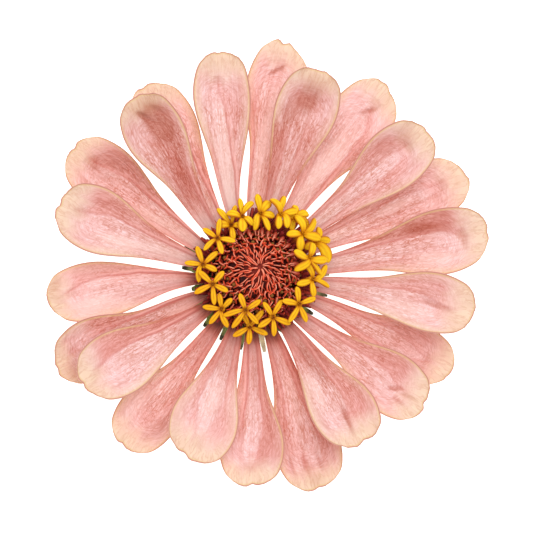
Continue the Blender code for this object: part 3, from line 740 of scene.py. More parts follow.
class Nodes:
    """A material's nodes, whose gloss constants are set on the shader's own sockets."""

    def __init__(self, name, roughness, sheen=0.0, specular=0.4):
        self.material = bpy.data.materials.new(name)
        self.material.use_nodes = True
        self.tree = self.material.node_tree
        self.shader = self.tree.nodes["Principled BSDF"]
        self.shader.inputs["Roughness"].default_value = roughness
        self.shader.inputs["Specular IOR Level"].default_value = specular
        self.shader.inputs["Sheen Weight"].default_value = sheen

    def add(self, kind, inputs=(), **settings):
        """A node with its settings, and its inputs set to values or linked to sockets."""
        node = self.tree.nodes.new(kind)
        for name, value in settings.items():
            setattr(node, name, value)
        for name, value in dict(inputs).items():
            if isinstance(value, bpy.types.NodeSocket):
                self.tree.links.new(value, node.inputs[name])
            else:
                node.inputs[name].default_value = value
        return node

    def value(self, name):
        """A value that the piece's points hold."""
        return self.add("ShaderNodeAttribute", attribute_name=name).outputs["Fac"]

    def maths(self, operation, a, b=0.0):
        return self.add("ShaderNodeMath", {0: a, 1: b}, operation=operation).outputs[0]

    def times(self, a, b):
        return self.maths("MULTIPLY", a, b)

    def vector(self, operation, a, b):
        return self.add("ShaderNodeVectorMath", {0: a, 1: b}, operation=operation).outputs[0]

    def joined(self, x, y, z):
        return self.add("ShaderNodeCombineXYZ", {"X": x, "Y": y, "Z": z}).outputs[0]

    def remap(self, value, low, high, to_low=0.0, to_high=1.0, kind="LINEAR"):
        """A value brought from the span low to high into another one, and held inside it."""
        inputs = {"Value": value, "From Min": low, "From Max": high}
        inputs.update({"To Min": to_low, "To Max": to_high})
        return self.add("ShaderNodeMapRange", inputs, interpolation_type=kind).outputs["Result"]

    def mix(self, factor, a, b, blend="MIX"):
        """A colour between a and b; each is a socket or an (r, g, b) colour."""
        a, b = ((*c, 1.0) if isinstance(c, tuple) else c for c in (a, b))
        settings = {"data_type": "RGBA", "blend_type": blend, "clamp_factor": True}
        return self.add("ShaderNodeMix", {0: factor, 6: a, 7: b}, **settings).outputs[2]

    def tint(self, colour, name, target, blend="MIX"):
        """A colour brought towards a target by a value that the piece's points hold."""
        return self.mix(self.value(name), colour, target, blend)

    def noise(self, vector, scale, detail, seed=None, output="Fac"):
        inputs = {"Scale": scale, "Detail": detail, "Vector": vector}
        if seed is not None:
            inputs["W"] = seed
        count = "3D" if seed is None else "4D"
        return self.add("ShaderNodeTexNoise", inputs, noise_dimensions=count).outputs[output]

    def streaks(self, place, stretch, detail, seed, output="Fac"):
        """Noise whose spots are stretched: a larger number makes them shorter that way."""
        return self.noise(self.vector("MULTIPLY", place, stretch), 1.0, detail, seed, output)

    def lines(self, value, thin, wide, strength):
        """Thin lines where a noise is near its middle value."""
        off = self.maths("ABSOLUTE", self.maths("SUBTRACT", value, 0.5))
        return self.remap(off, thin, wide, strength, 0.0)

    def grain(self, per_mm, detail=2.0):
        """Noise through a piece, with a number of spots to a millimetre."""
        space = self.add("ShaderNodeTexCoord").outputs["Object"]
        return self.noise(space, per_mm / MM, detail)

    def finish(self, colour, height, depth):
        """Links a colour, and a bump of a depth in millimetres, and gives the material."""
        self.tree.links.new(colour, self.shader.inputs["Base Color"])
        bump = self.add("ShaderNodeBump", {
            "Height": height, "Distance": depth * MM, "Strength": 1.0,
        })
        self.tree.links.new(bump.outputs["Normal"], self.shader.inputs["Normal"])
        return self.material


def petal_material():
    """Salmon petal: net, ribs, rosy flanks, streaked cream end, painted shadow at the base, ochre
    and brown rim.
    """
    n = Nodes("petal", 0.62, sheen=0.06, specular=0.2)
    seed, net, across = n.value("seed"), n.value("net"), n.value("across")

    # The net: thin wandering lines, small cells and dips between fine ridges, partly the petal's
    # own tone and partly painted highlight on the ridges and painted shade in the dips
    place = n.joined(n.value("grain_along"), n.value("grain_across"), across)
    wander = n.streaks(place, (0.6, 0.9, 0.3), 2.5, seed, "Color")
    wander = n.vector("SUBTRACT", wander, (0.5, 0.5, 0.5))
    wander = n.vector("MULTIPLY", wander, (1.2, 0.6, 0.0))
    warped = n.vector("ADD", place, wander)
    wave = n.streaks(warped, (1.3, 4.6, 0.3), 1.0, seed)
    ridge = n.times(n.remap(wave, 0.52, 0.64), net)
    cells = n.add("ShaderNodeTexVoronoi", {
        "Vector": n.vector("MULTIPLY", warped, (0.85, 2.7, 0.3)), "W": seed, "Scale": 1.0,
    }, feature="DISTANCE_TO_EDGE", voronoi_dimensions="4D").outputs["Distance"]
    vein = n.lines(n.streaks(warped, (0.55, 1.75, 0.3), 2.5, seed), 0.012, 0.055, 0.9)
    dip = n.maths("MAXIMUM", vein, n.remap(cells, 0.03, 0.15, 0.5, 0.0))
    dip = n.maths("MAXIMUM", dip, n.remap(wave, 0.46, 0.36, 0.0, 0.7))
    patchy = n.streaks(place, (0.4, 0.8, 0.3), 1.0, seed)
    dip = n.times(dip, n.remap(patchy, 0.35, 0.6, 0.75, 1.0))

    # Lengthwise nerves, and the end's fan of streaks, whose thin dark lines are painted shade in
    # its fine creases
    nerves = n.joined(n.value("along"), n.value("nerves"), 0.0)
    nerve = n.streaks(nerves, (0.05, 1.5, 0.0), 1.5, seed)
    rib = n.times(n.lines(nerve, 0.012, 0.085, 0.8), net)
    fan = n.joined(n.value("fan_along"), n.value("fan_across"), across)
    streak = n.streaks(n.vector("ADD", fan, wander), (0.4, 2.2, 0.2), 3.0, seed)
    crease = n.times(n.lines(streak, 0.005, 0.05, 0.75), n.value("cream"))

    soft = n.streaks(place, (0.16, 0.4, 0.3), 2.0, seed)
    colour = n.mix(n.remap(soft, 0.38, 0.62), (0.90, 0.56, 0.555), (0.925, 0.645, 0.65))
    # Painted light on the claws, where the rays' bases get little painted shadow
    colour = n.tint(colour, "peach", (0.98, 0.69, 0.62))
    colour = n.mix(n.times(ridge, 0.3), colour, (0.93, 0.62, 0.62))
    colour = n.tint(colour, "rose", (0.80, 0.325, 0.285))
    colour = n.mix(rib, colour, (0.87, 0.73, 0.67), "MULTIPLY")
    colour = n.mix(n.times(dip, net), colour, (0.68, 0.40, 0.30), "MULTIPLY")
    colour = n.tint(colour, "light", (0.96, 0.68, 0.62))
    margin = n.mix(n.remap(streak, 0.38, 0.6), (0.81, 0.56, 0.425), (0.835, 0.61, 0.455))
    colour = n.tint(colour, "cream", margin)
    colour = n.mix(crease, colour, (0.87, 0.74, 0.68), "MULTIPLY")
    colour = n.tint(colour, "shade", (0.66, 0.45, 0.37), "MULTIPLY")
    # Painted highlight on the band beside each groove, and the groove's rose line darkened with
    # painted shade in the groove
    colour = n.tint(colour, "glint", (0.91, 0.47, 0.43))
    colour = n.tint(colour, "line", (0.58, 0.16, 0.13))

    # The painted shadow of the disc on the base, the two lines along the rim and the paler
    # underside
    base, gap, bold = n.value("base"), n.value("gap"), n.value("bold")
    colour = n.mix(n.times(base, 1.5), colour, (0.77, 0.38, 0.28), "MULTIPLY")
    colour = n.mix(n.remap(base, 0.45, 1.0, 0.0, 0.85), colour, (0.12, 0.035, 0.03))
    ochre = n.times(n.remap(gap, 0.24, 0.55, 0.6, 0.0, "SMOOTHSTEP"), bold)
    colour = n.mix(ochre, colour, (0.70, 0.49, 0.20))
    brown = n.times(n.remap(gap, 0.1, 0.26, 0.9, 0.0, "SMOOTHSTEP"), bold)
    colour = n.mix(brown, colour, (0.55, 0.21, 0.185))
    under = n.mix(n.remap(nerve, 0.35, 0.65), (0.70, 0.42, 0.28), (0.86, 0.58, 0.46))
    colour = n.tint(colour, "lower", under)
    return n.finish(colour, n.times(n.maths("SUBTRACT", wave, n.times(dip, 0.4)), net), 0.05)


def lobe_material():
    """Golden velvet of the disc florets, orange in the groove and at the root, with painted shade
    at the sides, undersides and roots and a painted highlight along the tops.
    """
    n = Nodes("golden_lobe", 0.6, specular=0.15)
    colour = n.mix(n.remap(n.grain(0.9), 0.35, 0.65), (0.86, 0.37, 0.003), (0.92, 0.47, 0.005))
    colour = n.tint(colour, "bright", (0.97, 0.66, 0.012))
    colour = n.tint(colour, "ochre", (0.45, 0.125, 0.003))
    colour = n.tint(colour, "maroon", (0.25, 0.03, 0.015))
    return n.finish(colour, n.grain(6.0), 0.05)


def scale_material():
    """Dry chaff: brick red on its flanks and salmon on its ridges with a painted highlight on
    their pale crests, and almost black in its hollows, partly its own dark maroon and partly
    painted shade.
    """
    n = Nodes("chaff_scale", 0.55, specular=0.2)
    patch = n.remap(n.grain(1.5, 3.0), 0.35, 0.65)
    colour = n.mix(patch, (0.012, 0.003, 0.003), (0.10, 0.009, 0.006))
    colour = n.tint(colour, "brick", (0.42, 0.035, 0.016))
    colour = n.tint(colour, "salmon", (0.95, 0.125, 0.05))
    colour = n.tint(colour, "pale", (1.0, 0.47, 0.31))
    colour = n.tint(colour, "maroon", (0.20, 0.015, 0.03))
    # Painted shade on the flanks of the outer chaff under the florets; the buds are darkened a
    # little too
    colour = n.tint(colour, "dark", (0.02, 0.008, 0.008))
    colour = n.tint(colour, "olive", (0.26, 0.12, 0.025))
    return n.finish(colour, n.grain(7.0), 0.05)


def green_material():
    """Bract and stem green, with fine lengthwise nerves, dark ends and pale edges."""
    n = Nodes("bract_green", 0.6, sheen=0.1, specular=0.3)
    patch, nerve = n.grain(0.5, 3.0), n.value("nerve")
    colour = n.mix(n.remap(patch, 0.35, 0.65), (0.10, 0.19, 0.035), (0.2, 0.32, 0.07))
    colour = n.mix(nerve, colour, (0.32, 0.42, 0.14))
    colour = n.tint(colour, "pale", (0.80, 0.80, 0.55))
    dark = n.times(n.value("dark"), n.remap(patch, 0.3, 0.6, 0.7, 1.0))
    colour = n.mix(dark, colour, (0.012, 0.008, 0.008))
    return n.finish(colour, n.maths("ADD", n.times(nerve, 0.6), n.grain(5.0)), 0.06)


def floor_material():
    """Near-white floor, with a fine even tooth."""
    n = Nodes("floor_white", 0.9, specular=0.1)
    tooth = n.grain(0.4)
    n.shader.inputs["Emission Color"].default_value = (1.0, 1.0, 1.0, 1.0)
    n.shader.inputs["Emission Strength"].default_value = FLOOR_GLOW
    return n.finish(n.mix(tooth, (0.9, 0.9, 0.9), (0.92, 0.92, 0.92)), tooth, 0.02)


# Rays

def edge_lift(index, side):
    """How far a ray's left (-1) or right (1) edge curls up: less where its neighbour covers it."""
    neighbour = RAYS[(index + side) % len(RAYS)]
    return COVERED_EDGE_LIFT if neighbour.level > RAYS[index].level else FREE_EDGE_LIFT


def blade_surface(index, u, v):
    """Middle of a ray's smooth blade, with each point's part of the length and half width."""
    ray = RAYS[index]
    start = direction(ray.claw) * (RIM_RADIUS + GAP)
    end = direction(ray.tip) * ray.reach
    length = ray.reach - RIM_RADIUS - GAP
    bend = start + direction(ray.claw) * (SPINE_BEND_PLACE * length)

    last_t = RAY_OUTLINE[-1][0]
    tip_share = rise(u, TIP_ROUNDING_START, 1.0 - TIP_ROUNDING_START)
    notch = ray.notch / length * bump_at(v - ray.notch_at, NOTCH_SPREAD)
    lobes = ray.skew / length * v * (1.0 - 0.5 * v * v)
    t = u * last_t + tip_share * ((1.0 - last_t) * (1.0 - v * v) - notch + lobes)
    drawn_in = np.where(v < 0.0, ray.waist_left, ray.waist_right)
    waist = drawn_in * bump_at(t - WAIST_PLACE, WAIST_SPREAD)
    half_width = 0.5 * ray.width * smooth_through(RAY_OUTLINE, u * last_t) * (1.0 - waist)

    t3 = t[..., None]
    spine = start * (1.0 - t3) ** 2 + bend * (2.0 * t3 * (1.0 - t3)) + end * t3 * t3
    along = unit((bend - start) * (1.0 - t3) + (end - bend) * t3)
    point = spine + np.cross(along, UP) * (v * half_width)[..., None]

    lift = np.where(v < 0.0, edge_lift(index, -1), edge_lift(index, 1))
    seat = RAY_SEAT + RAY_SEAT_STEP * ray.level
    climb = RAY_RISE + RAY_RISE_STEP * ray.level
    point[..., 2] = (
        seat
        + climb * ((1.0 + ARCH) * t - ARCH * t * t)
        + lift * v * v * rise(t, EDGE_LIFT_START, EDGE_LIFT_RUN)
        + GUTTER_DEPTH * v * v * fall(t, 0.0, GUTTER_END)
        - SPOON_DEPTH * (1.0 - v * v) * bump_at(t - SPOON_PLACE, SPOON_SPREAD)
        + TIP_LIFT * rise(t, TIP_LIFT_START, 1.0 - TIP_LIFT_START)
    )
    return point, t, half_width, length


def blade_marks(index, t, v, half_width, length):
    """Shares of line, glint, rose and shade from a ray's grooves and patches, and its relief."""
    look = RAY_LOOKS[index]
    seed = 100 * (index + 1)
    line = np.zeros_like(t)
    glint = np.zeros_like(t)
    rose = look.rosy * bump_at(t - 0.55, 0.35)
    shade = look.dark * rise(t, 0.15, 0.3)
    relief = PANEL_CROWN * fall(np.abs(v), 0.0, 0.6) * rise(t, 0.05, 0.2) * fall(t, 0.6, 0.25)
    for groove in (Groove(*values) for values in GROOVES[index + 1]):
        first, last = groove.course[0][0], groove.course[-1][0]
        at = smooth_through(groove.course, np.clip(t, first, last))
        at = at + 0.03 * noise_along(t * 14.0, seed + int(100 * abs(groove.course[0][1])))
        gap = (v - at) * half_width
        ends = ease((t - first + 0.08) / 0.12) * (1.0 - ease((t - last + 0.04) / 0.1))
        mark = bump_at(gap, GROOVE_WIDTH) * ends
        line += groove.line * mark * (1.0 - 0.5 * rise(t, 0.5, 0.3))
        beside = bump_at(groove.side * gap - GLINT_GAP, GLINT_WIDTH)
        glint += groove.line * beside * ends * (1.0 - 0.8 * rise(t, 0.4, 0.3))
        relief -= GROOVE_DEPTH * groove.line * mark
        outside = ease(groove.side * gap / 0.5 + 0.35)
        flank = outside * rise(t, 0.05, 0.15) * (1.0 - ease((t - last + 0.1) / 0.16))
        rose = rose + groove.rose * flank
        shade = shade + groove.shade * flank
    for patch in (Patch(*values) for values in PATCHES[index + 1]):
        x = (v - patch.v) * half_width
        y = (t - patch.t) * length
        lean = math.radians(patch.lean)
        lengthwise = y * math.cos(lean) + x * math.sin(lean)
        crosswise = x * math.cos(lean) - y * math.sin(lean)
        far = (lengthwise / patch.length) ** 2 + (crosswise / patch.width) ** 2
        fringe = 1.0 + 0.45 * noise(lengthwise / 1.2, crosswise / 0.4, seed + 41)
        pit = 0.5 * np.exp(-far) + 0.5 * np.exp(-((far * fringe) ** 2.5))
        rose = rose + patch.rose * pit
        shade = shade + patch.shade * pit
        relief = relief - patch.depth * pit
    return line, glint, rose, shade, relief


def make_ray(index, material):
    """A ray floret's blade with its grooves, crinkles and dents, and its claw."""
    look = RAY_LOOKS[index]
    seed = 100 * (index + 1)
    rows = np.linspace(0.0, 1.0, BLADE_ROWS)
    columns = np.linspace(-1.0, 1.0, BLADE_COLUMNS)
    u = (1.0 - (1.0 - rows) ** 1.2)[:, None] + 0.0 * columns[None, :]
    v = (columns * (1.25 - 0.25 * columns ** 2))[None, :] + 0.0 * rows[:, None]
    middle, t, half_width, length = blade_surface(index, u, v)
    along = t * length
    across = v * 0.5 * (half_width + NOMINAL_HALF_WIDTH)
    side_gap = (1.0 - np.abs(v)) * half_width
    tip_gap = (1.0 - u) * length
    edge_gap = np.minimum(side_gap, tip_gap)
    opened = rise(t, 0.08, 0.25)

    # The net's course, and the relief in millimetres
    over = np.maximum(along - ARCH_START * length, 0.0)
    grain_across = np.hypot(across, over)
    turn = np.arctan2(over, np.abs(across) + 1e-6)
    grain_along = np.minimum(along, ARCH_START * length) + ARCH_RADIUS * turn
    line, glint, rose, shade, relief = blade_marks(index, t, v, half_width, length)
    slanted = grain_across + 0.2 * across
    crinkles = sum(
        height * noise(grain_along / long, slanted / wide, seed + 2 + k)
        for k, (height, long, wide) in enumerate(CRINKLES)
    )
    patches = 0.6 + 0.4 * noise(along / 5.0, across / 2.0, seed + 1)
    relief += crinkles * look.net * patches * opened
    waves = noise(along / WAVE_LENGTH, across / WAVE_WIDTH, seed + 4)
    relief += WAVE_HEIGHT * waves * rise(t, 0.35, 0.3)

    # Uneven rim of the tip
    tip_share = rise(u, 0.85, 0.15)
    flat_rim = 0.35 + 0.65 * ease(edge_gap / 0.8)
    relief = relief * flat_rim + layered(across, RIM_RIPPLE, seed + 5) * tip_share
    outwards = layered(across, RIM_TEETH, seed + 7) * tip_share
    middle = middle + unit(np.gradient(middle, axis=0)) * outwards[..., None]
    normal = grid_normals(middle)
    normal *= np.sign(normal[..., 2:3])
    middle = middle + normal * relief[..., None]
    half = 0.5 * (RIM_THICKNESS + (BLADE_THICKNESS - RIM_THICKNESS) * ease(edge_gap / 1.2))

    # Colour shares
    blur = 0.12 * noise(along / 2.5, across / 0.8, seed + 9)
    side_cream = (1.0 - ease((side_gap - 0.1) / (2.1 * look.side) + blur)) * rise(t, 0.38, 0.25)
    side_cream *= 1.0 - 0.85 * np.clip(1.2 * (rose + shade), 0.0, 1.0)
    tip_cream = 1.0 - ease((tip_gap - 0.9) / (4.2 * look.tip) + blur)
    cream = np.maximum(0.7 * side_cream, tip_cream)
    keep = 1.0 - 0.8 * cream
    uneven = 0.75 + 0.25 * noise(along / 2.0, across / 0.5, seed + 10)
    # Painted shadow of the disc on the base: strong next to it, with a weaker part reaching
    # further out
    base = look.base * fall(t, 0.02, 0.2) * uneven
    base += 0.34 * look.base * fall(t, 0.12, 0.45)
    rose = rose + 0.75 * (bump_at(side_gap, 0.3) * fall(t, 0.35, 0.25))
    # Painted light on the claw, less where the base has painted shadow
    peach = (1.0 - look.base) * fall(t, 0.15, 0.4) * (1.0 - v * v)
    net = look.net * (1.0 - 0.35 * rise(t, 0.64, 0.16)) * (1.0 - 0.5 * cream)
    net = net * (0.35 + 0.65 * opened)
    beyond = along - FAN_START * length
    heap = Heap()
    heap.add_shell(
        middle, normal, half, under=UNDERSIDE_SHARE,
        along=along, across=across, nerves=NOMINAL_HALF_WIDTH * v,
        grain_along=grain_along, grain_across=grain_across,
        fan_along=np.hypot(across, beyond), fan_across=FAN_RADIUS * np.arctan2(across, beyond),
        seed=np.full_like(t, (index + 1.0) * NET_SEED_STEP), gap=edge_gap,
        bold=0.05 + 0.95 * rise(t, 0.35, 0.25),
        line=np.clip(line, 0.0, 1.0), glint=np.clip(glint * keep, 0.0, 0.8),
        rose=np.clip(rose * keep, 0.0, 1.0), light=np.clip(-shade * keep, 0.0, 0.8),
        shade=np.clip(shade * (1.0 - 0.5 * cream), 0.0, 1.0), cream=cream, peach=0.8 * peach,
        base=np.clip(base, 0.0, 0.95), net=np.clip(net, 0.0, 1.2),
    )
    add_piece(f"petal_{index + 1:02d}", heap, material, [f"ray_{index + 1:02d}"])


# Disc florets

def make_floret(index, material):
    """An open disc floret: tube, throat, five fleshy lobes and the tips of its anthers."""
    floret = FLORETS[index]
    outward = direction(floret.azimuth)
    clockwise = direction(floret.azimuth + 90.0)
    lean = math.radians(FLORET_LEAN)
    axis = outward * math.sin(lean) + UP * math.cos(lean)
    out_along = outward * math.cos(lean) - UP * math.sin(lean)
    centre = outward * floret.radius + UP * floret.height
    seat = outward * FLORET_SEAT_RADIUS + UP * FLORET_SEAT_HEIGHT
    heap = Heap()

    # The lobes vary more the nearer the floret is to the crowded side of the ring
    northern = 0.6 + 0.4 * math.cos(math.radians(floret.azimuth - 20.0))
    crowded = max(0.0, math.cos(math.radians(floret.azimuth - CROWDED_AZIMUTH)))
    plump = 1.08 + 0.3 * crowded
    rng = np.random.default_rng(index + 1)
    for lobe in (Lobe(*values) for values in floret.lobes):
        s = np.linspace(0.0, 1.0, 17)
        swing = lobe.swing + rng.uniform(-LOBE_DISORDER, LOBE_DISORDER) * crowded
        turn = np.radians(lobe.bearing - floret.azimuth + swing * (1.0 - s) ** 2)
        arch = lobe.arch + rng.uniform(-0.2, 0.3) * crowded
        r = LOBE_ROOT + (lobe.reach - LOBE_ROOT) * s
        z = 4.0 * arch * s * (1.0 - s) + lobe.lift * s * s - LOBE_SINK
        ways = out_along * np.cos(turn)[:, None] + clockwise * np.sin(turn)[:, None]
        path = centre + ways * r[:, None] + axis * z[:, None]
        girth = rng.uniform(0.94 - 0.14 * crowded, 1.08 + 0.14 * crowded)
        width = lobe.wide * plump * girth * smooth_through(LOBE_HALF_WIDTH, s)
        thick = 0.5 * LOBE_THICKNESS * (1.0 + 0.4 * crowded) * math.sqrt(lobe.wide)
        depth = thick * np.sqrt(np.clip(width / LOBE_BLUNT_WIDTH, 0.0, 1.0))
        roll = math.radians(rng.uniform(-LOBE_DISORDER, LOBE_DISORDER) * crowded)
        side = np.cross(ways, axis) * math.cos(roll) + axis * math.sin(roll)
        section = round_section(16, LOBE_GROOVE)
        points, faces, across, height, place = sweep(path, side, width, depth, section)
        # The ochre: the lobe's own orange in its groove and at its root, with painted shade at the
        # root, on its sides and underside, and in the groove away from the lit side of the ring
        top = ease(height)
        groove = 0.75 * bump_at(across, 0.2) * top * fall(place, 0.6, 0.35)
        ochre = groove * (1.2 - 0.9 * northern)
        edges = 0.85 * rise(np.abs(across), 0.6, 0.34)
        ochre += (0.8 - 0.35 * crowded) * fall(place, 0.0, 0.24) + edges
        ochre += 0.7 * fall(height, -0.5, 0.7)
        # A painted highlight along the lobe's top shoulders, strongest towards the lit side of the
        # ring, which northern measures
        ridge = bump_at(np.abs(across) - 0.5 + 0.3 * crowded, 0.25 + 0.15 * crowded)
        bright = ridge * top * rise(place, 0.1, 0.3) * northern
        heap.add(points, faces, ochre=np.clip(ochre, 0.0, 1.0), bright=bright)

    s = np.linspace(0.0, 1.0, 9)[:, None]
    path = seat * (1.0 - s) + (centre - axis * 0.1) * s + axis * (1.2 * s * (1.0 - s))
    radius = TUBE_RADIUS + THROAT_FLARE * rise(s[:, 0], 0.7, 0.3)
    points, faces, _, _, place = sweep(path, clockwise, radius, radius, round_section(12))
    heap.add(points, faces, ochre=0.4, maroon=fall(place, 0.55, 0.3))
    for k in range(ANTHERS):
        turn = math.radians(360.0 / ANTHERS * k + 20.0 * index)
        way = out_along * math.cos(turn) + clockwise * math.sin(turn)
        up = np.linspace(-0.1, 0.45 + 0.5 * crowded, 5)[:, None]
        path = centre + way * (0.16 + 0.12 * up) + axis * up
        side, section = np.cross(way, axis), round_section(6)
        points, faces = sweep(path, side, ANTHER_HALF_WIDTH, ANTHER_HALF_DEPTH, section)[:2]
        heap.add(points, faces, ochre=0.9 - 0.6 * crowded, maroon=0.6 - 0.6 * crowded)
    name = f"disc_floret_{index + 1:02d}"
    add_piece(f"open_floret_{index + 1:02d}", heap, material, [name])


# The cone of chaff

def ground_at(azimuth, radius):
    """A point of the cone's surface, its outward and clockwise directions there and its normal."""
    out = direction(azimuth)
    height = smooth_through(SCALE_GROUND, radius)
    step = 0.05
    slope = (smooth_through(SCALE_GROUND, radius + step) - height) / step
    outward = unit(out + UP * slope)
    clockwise = direction(azimuth + 90.0)
    return out * radius + UP * height, outward, clockwise, np.cross(clockwise, outward)


def add_folded(heap, path, side, width, depth, ridge, pale=0.0, dark=0.0, maroon=0.0):
    """Adds a folded scale whose ridge is bright with painted highlight, and whose brick red flanks
    fall off into painted shade.
    """
    points, faces, _, height, place = sweep(path, side, width, depth, FOLDED_SECTION)
    near = ease(1.0 + 1.1 * height)
    top = ease(1.0 + 1.5 * height)
    crest = ease(1.0 + 5.5 * height)
    pale = crest * pale * bump_at(place - 0.75, 0.4)
    heap.add(points, faces, brick=0.4 + 0.6 * near, salmon=top * ridge,
             pale=pale, dark=dark * (1.0 - top), maroon=maroon)


def add_forked_scale(heap, azimuth, radius, rng):
    """A folded scale with a pale ridge whose stem points inwards and whose arms fork outwards."""
    ground, outward, clockwise, normal = ground_at(azimuth, radius)
    yaw = math.radians(rng.uniform(-26.0, 26.0) + 12.0)
    inward = -(outward * math.cos(yaw) + clockwise * math.sin(yaw))
    across = np.cross(inward, normal)
    size = rng.uniform(0.85, 1.1)
    fork = ground + normal * (FORK_HEIGHT * size)
    s = np.linspace(0.0, 1.0, 9)[:, None]
    bow = rng.uniform(-0.25, 0.25)
    stem = rng.uniform(1.3, 1.9) * size
    path = fork + inward * (stem * s) + normal * (0.35 * np.sin(0.8 * math.pi * s))
    path = path + across * (bow * np.sin(math.pi * s))
    width = FORK_STEM_HALF_WIDTH * size * (1.0 - 0.3 * s[:, 0])
    # Painted highlight on the ridge, stronger further out on the cone's side
    pale = rng.uniform(0.2, 1.3) + 0.12 * radius
    add_folded(heap, path, across, width, FORK_STEM_HALF_DEPTH * size, 1.0, pale=pale)
    for turn in (-1.0, 1.0):
        spread = math.radians(rng.uniform(38.0, 66.0))
        way = -inward * math.cos(spread) + across * (turn * math.sin(spread))
        arm = rng.uniform(0.65, 1.05) * size
        curl = rng.uniform(-0.1, 0.3)
        s = np.linspace(0.0, 1.0, 7)[:, None]
        path = fork + way * (arm * s) - inward * (curl * s * s) - normal * (0.3 * s * s)
        width = FORK_ARM_HALF_WIDTH * size * (1.0 - 0.25 * s[:, 0])
        depth = FORK_ARM_HALF_DEPTH * size
        add_folded(heap, path, np.cross(way, normal), width, depth, 1.0)
    return fork, inward, across, normal, size


def add_bud(heap, place, normal, side, radius):
    """The rounded end of a floret that hasn't opened."""
    s = np.linspace(0.0, 1.0, 8)
    path = place + normal * (radius * (2.0 * s - 1.3))[:, None]
    width = radius * np.sqrt(np.clip(1.0 - (1.5 * s - 0.6) ** 2, 0.02, 1.0))
    points, faces = sweep(path, side, width, width, round_section(9))[:2]
    heap.add(points, faces, olive=0.9, dark=0.2)


def make_core(material):
    """The knobbly dark core of the cone, redder at its apex; elsewhere near black, partly its own
    dark maroon and partly painted shade in the hollows between the scales.
    """
    rows, columns = 40, 96
    s = np.linspace(0.0, 1.0, rows)
    r, z = path_at(CORE_SIDE, s)
    azimuth = 360.0 * np.arange(columns) / columns
    knob = 0.2 * noise(s[:, None] * 14.0 + 0.0 * azimuth, azimuth[None, :] / 15.0, CORE_SEED)
    points, faces = turned(np.maximum(r, 0.0)[:, None] + knob * (r > 1.0)[:, None], z)
    core = Heap()
    core.add(points, faces, brick=np.repeat(0.02 + 0.6 * fall(r, 1.6, 1.6), columns))
    add_piece("chaff_core", core, material, ["chaff_cone"])


def make_tips(material):
    """The cone's inner blades, forked scales and buds, and the flaps on its far side."""
    rng = np.random.default_rng(TIPS_SEED)
    tips = Heap()
    for count, start, end, raised in INNER_BLADES:
        for k in range(count):
            azimuth = 360.0 * (k + rng.uniform(-0.35, 0.35)) / count
            reach = end * rng.uniform(0.75, 1.2)
            s = np.linspace(0.0, 1.0, 11)
            radius = start + (reach - start) * (1.0 - s)
            twist = rng.uniform(-10.0, 18.0) * np.sin(math.pi * s) + 14.0 * (1.0 - s)
            swirl = azimuth + twist * 2.0 / end
            height = smooth_through(SCALE_GROUND, radius) + raised + 0.3 * np.sin(math.pi * s)
            path = direction(swirl) * radius[:, None] + UP * height[:, None]
            width = INNER_HALF_WIDTH + INNER_WIDENING * (1.0 - s)
            depth = INNER_HALF_DEPTH + INNER_DEEPENING * (1.0 - s)
            side = direction(azimuth - 90.0)
            add_folded(tips, path, side, width, depth, 1.0, pale=rng.uniform(0.5, 1.5))

    spread = np.random.default_rng(LOW_BLADES_SEED)
    for k in range(LOW_BLADES):
        radius = LOW_BLADE_START + LOW_BLADE_RUN * math.sqrt((k + 0.5) / LOW_BLADES)
        ground, outward, clockwise, normal = ground_at(GOLDEN_ANGLE * k + 40.0, radius)
        yaw = math.radians(spread.uniform(-50.0, 50.0))
        way = outward * math.cos(yaw) + clockwise * math.sin(yaw)
        s = np.linspace(-0.5, 0.5, 7)[:, None]
        path = ground + way * (spread.uniform(0.9, 1.6) * s) + normal * (0.12 - 0.6 * s * s)
        side, ridge = np.cross(way, normal), spread.uniform(0.0, 0.35)
        add_folded(tips, path, side, LOW_BLADE_HALF_WIDTH, LOW_BLADE_HALF_DEPTH, ridge)

    for k in range(SCALES):
        share = (k + 0.5) / SCALES
        radius = math.sqrt(SCALE_START ** 2 + (SCALE_END ** 2 - SCALE_START ** 2) * share)
        azimuth = GOLDEN_ANGLE * k + rng.uniform(-4.0, 4.0)
        fork, inward, across, normal, size = add_forked_scale(tips, azimuth, radius, rng)
        if radius > BUD_START:
            place = fork - inward * (0.75 * size) - normal * 0.25
            add_bud(tips, place, normal, across, rng.uniform(0.28, 0.42))

    for azimuth in FLAP_AZIMUTHS:
        radius = rng.uniform(5.6, 6.5)
        ground, outward, clockwise, normal = ground_at(azimuth, radius)
        s = np.linspace(0.0, 1.0, 9)
        out, height = FLAP_OUT - FLAP_LENGTH * s, FLAP_HEIGHT - FLAP_DROP * s
        path = ground + outward * out[:, None] + normal * height[:, None]
        blunt = np.sqrt(1.0 - (2.0 * s / 1.3 - 0.99) ** 2 * (s < 0.65))
        width = 0.16 + 0.4 * blunt * fall(s, 0.3, 0.5)
        add_folded(tips, path, -clockwise, width, 0.2, 0.3, pale=1.0)
    add_piece("chaff_tips", tips, material)


